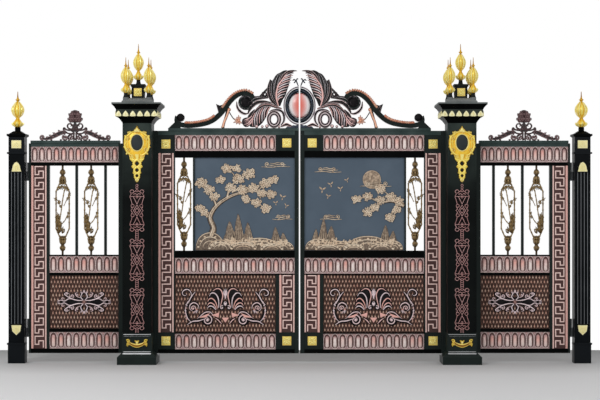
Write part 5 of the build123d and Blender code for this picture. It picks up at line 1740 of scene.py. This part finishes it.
def branch(casting, points, widths, out, height=9.0):
    """A knotty branch: a round bar with two strands of bark along it."""
    line = smooth_line(points, 5)
    sweep(casting, line, [1.15 * w for w in widths], height, ROUND, out, 0.5, rub=0.6)
    widest = max(widths)
    for shift in (-0.2, 0.22):
        sweep(casting, line + (shift * widest * 0.5, shift * widest * 0.3), [w * 0.22 for w in widths], 3.0,
              ROUND, out + height * 0.72, draw.random(), rub=0.95)


def cloud(casting, across, up, length, out, side=1):
    """A long low cloud that ends in a curl each way."""
    for level, share in ((0, 1.0), (20, 0.72), (38, 0.4)):
        reach = length * share / 2
        line = [(across - reach, up + level), (across - reach * 0.3, up + level + 5),
                (across + reach * 0.3, up + level - 4), (across + reach, up + level)]
        sweep(casting, smooth_line(line, 4), [6, 11, 11, 6], 6, ROUND, out, draw.random(), rub=0.85)
    for end, start, turns in ((side * length * 0.3, 270, 1.2), (-side * length * 0.22, 270, -1.1)):
        curl(casting, across + end, up + 26, 25, start, turns, 9, 6, out, draw.random(), 0.9)


def hill(casting, across, up, half_width, height, out, tone):
    """A rounded hill inside the panel's edges, with dark gullies and bright contour lines down its back."""
    start, end = max(across - half_width, near + edge_margin), min(across + half_width, far - edge_margin)
    across, half_width = (start + end) / 2, (end - start) / 2
    back = [(across + half_width * math.cos(a), up + height * math.sin(a) ** 0.8)
            for a in np.linspace(0, math.pi, 17)]
    plate(casting, back, 6, 3, out, tone, 0.3, 0.42)
    for share in (0.95, 0.72, 0.5):
        line = [(across + (a - across) * share, up + 3 + (b - up) * share) for a, b in back[1:-1]]
        sweep(casting, line, [5, 13, 13, 5], 5, ROUND, out + 5, draw.random(), rub=1.0)
    for n in range(7):
        a = math.pi * (n + 0.5) / 7
        place = (across + half_width * 0.84 * math.cos(a), up + height * 0.82 * math.sin(a))
        dome(casting, round_outline(*place, 17, 12, 7), 6, out + 5, draw.random(), 1, 0.4, 1.0)


def rock(casting, across, up, half_width, height, out, tone):
    """A standing garden rock: a pointed stone with ridges that run down from its tip."""
    shape = [(-1.0, 0.0), (1.0, 0.0), (0.82, 0.3), (0.6, 0.46), (0.42, 0.74), (0.12, 1.0), (-0.1, 0.94),
             (-0.36, 0.68), (-0.5, 0.5), (-0.8, 0.32)]
    plate(casting, [(across + a * half_width, up + u * height) for a, u in shape], 6, 3, out, tone, 0.2,
          0.45)
    for foot in (-0.72, -0.3, 0.12, 0.5):
        line = [(across + foot * half_width, up + 4),
                (across + (0.7 * foot - 0.06) * half_width, up + 0.42 * height),
                (across + 0.18 * foot * half_width, up + 0.86 * height)]
        sweep(casting, smooth_line(line, 4), [16, 13, 6], 6, RIDGE, out + 5, draw.random(), rub=1.0)


def shrub(casting, across, up, half_width, count, out):
    """A low mass of small bright leaves that point every way."""
    for n in range(count):
        turn = draw.uniform(15, 165)
        lobe(casting, across + half_width * draw.uniform(-1, 1), up + draw.uniform(0, 0.5) * half_width,
             draw.uniform(26, 44), 15, turn, 5, out, 0.2 + 0.6 * draw.random(), 0.75)


def bird(casting, across, up, size, turn, out):
    """A small flying bird."""
    for side in (1, -1):
        lobe(casting, across, up, size, size * 0.32, turn + side * 58 + (0 if side > 0 else 10), 5, out,
             0.9, 0.6)
    lobe(casting, across, up - size * 0.1, size * 0.7, size * 0.26, turn + 180, 5, out, 0.9, 0.6)


# %% Lay the ground and let the plants grow
def lay_ground(casting, hills, rocks, shrubs):
    """Hills along the foot of a panel, with rocks and shrubs before them."""
    for across, half_width, height, out, tone in hills:
        hill(casting, across, low + edge_margin, half_width, height, panel_out + out, tone)
    for across, half_width, height, tone in rocks:
        rock(casting, across, low + 60, half_width, height, panel_out + 1, tone)
    for across, half_width, count in shrubs:
        shrub(casting, across, low + 40, half_width, count, panel_out + 9)


def grow(casting, branches, clusters, clouds, birds):
    """Branches with their blossoms, then the clouds and the birds."""
    for points, widths, *height in branches:
        branch(casting, raised(points, low), widths, panel_out + 1, *height)
    for across, up, radius in clusters:
        blossoms(casting, across, low + up, radius, panel_out + 5)
    for across, up, length, out, *side in clouds:
        cloud(casting, across, up, length, panel_out + out, *side)
    for across, up, size, turn in birds:
        bird(casting, across, low + up, size, turn, panel_out + 1)


# %% The tree
tree_panel = Casting()
lay_ground(
    tree_panel, hills=((150, 170, 96, 0, 0.8), (420, 210, 130, 0, 0.2), (700, 190, 104, 0, 0.6),
                       (940, 152, 190, 0, 0.4), (290, 130, 70, 5, 0.9), (590, 150, 84, 5, 0.5),
                       (830, 140, 110, 5, 0.1)),
    rocks=((640, 70, 330, 0.7), (730, 82, 250, 0.3), (540, 66, 240, 0.9), (250, 60, 190, 0.5),
           (170, 52, 130, 0.8)),
    shrubs=((640, 150, 46), (420, 110, 30), (220, 120, 30), (840, 90, 24)))
grow(
    tree_panel, branches=(([(930, 150), (905, 240), (940, 350), (872, 470), (748, 560), (600, 612),
                            (440, 628), (300, 590)],
                           [78, 58, 50, 44, 36, 28, 18, 10], 11),
                          ([(872, 470), (920, 580), (990, 660), (1040, 700)], [32, 24, 16, 8]),
                          ([(760, 556), (730, 660), (640, 750), (540, 800)], [30, 22, 16, 8]),
                          ([(600, 612), (540, 540), (440, 500), (352, 440)], [24, 18, 12, 7]),
                          ([(920, 330), (1000, 400), (1050, 430)], [24, 16, 7]),
                          ([(440, 628), (360, 700), (280, 740)], [18, 12, 7]),
                          ([(660, 730), (700, 810), (760, 860)], [16, 12, 7])),
    clusters=((1030, 706, 62), (950, 640, 54), (890, 566, 46), (1046, 440, 46), (990, 396, 40),
              (530, 806, 66), (640, 752, 58), (764, 862, 52), (720, 660, 56), (830, 742, 44),
              (600, 640, 52), (480, 660, 54), (360, 706, 58), (272, 746, 48), (296, 590, 46),
              (400, 600, 44), (352, 442, 52), (452, 504, 46), (560, 546, 40), (660, 862, 40)),
    clouds=((250, high - 96, 300, 1), (180, low + 330, 210, 1, -1)),
    birds=((180, 560, 44, 100), (250, 500, 36, 80), (140, 470, 34, 110)))
print("tree panel has", len(tree_panel.faces), "faces")

# %% The moon
moon_panel = Casting()
lay_ground(
    moon_panel, hills=((160, 180, 120, 0, 0.3), (430, 200, 92, 0, 0.7), (720, 230, 150, 0, 0.4),
                       (980, 110, 100, 0, 0.9), (300, 150, 66, 5, 0.5), (860, 150, 84, 5, 0.2),
                       (570, 120, 60, 5, 0.8)),
    rocks=((250, 62, 280, 0.4), (330, 70, 200, 0.8), (170, 50, 170, 0.6), (900, 66, 210, 0.3),
           (980, 56, 150, 0.7)),
    shrubs=((260, 140, 40), (560, 120, 26), (860, 130, 34)))
moon = (760, high - 230)
plate(moon_panel, circle(*moon, 96, 36), 5, 3, panel_out, 0.9, 0.4, 0.6)
sweep(moon_panel, circle(*moon, 92, 36), [10], 8, ROUND, panel_out, 0.9, closed=True, rub=0.9)
grow(
    moon_panel, branches=(([(1096, 470), (980, 520), (850, 510), (720, 560), (600, 540)],
                           [44, 32, 24, 16, 8]),
                          ([(980, 520), (920, 600), (850, 640)], [24, 16, 7]),
                          ([(850, 510), (800, 430), (720, 400)], [20, 14, 7]),
                          ([(1040, 498), (1010, 400), (960, 350)], [22, 14, 7])),
    clusters=((1040, 520, 50), (960, 560, 52), (846, 646, 52), (850, 530, 46), (716, 404, 50),
              (790, 452, 40), (716, 566, 44), (598, 540, 46), (956, 352, 48), (1016, 430, 42)),
    clouds=((800, high - 300, 330, 5), (300, high - 150, 280, 1, -1), (330, low + 330, 230, 1)),
    birds=((240, 640, 48, 80), (330, 696, 40, 100), (430, 650, 38, 90), (300, 570, 36, 70),
           (500, 740, 34, 110)))
print("moon panel has", len(moon_panel.faces), "faces")

# %% Set the panels in the leaves
for half, casting in (("left", tree_panel), ("right", moon_panel)):
    highest = max(out for across, up, out in casting.points)
    print(half, "relief stands", round(highest - panel_out, 1), "mm proud")
    make_piece(half + "_leaf_garden", casting, both_faces(half), half + "_leaf", tan_relief)
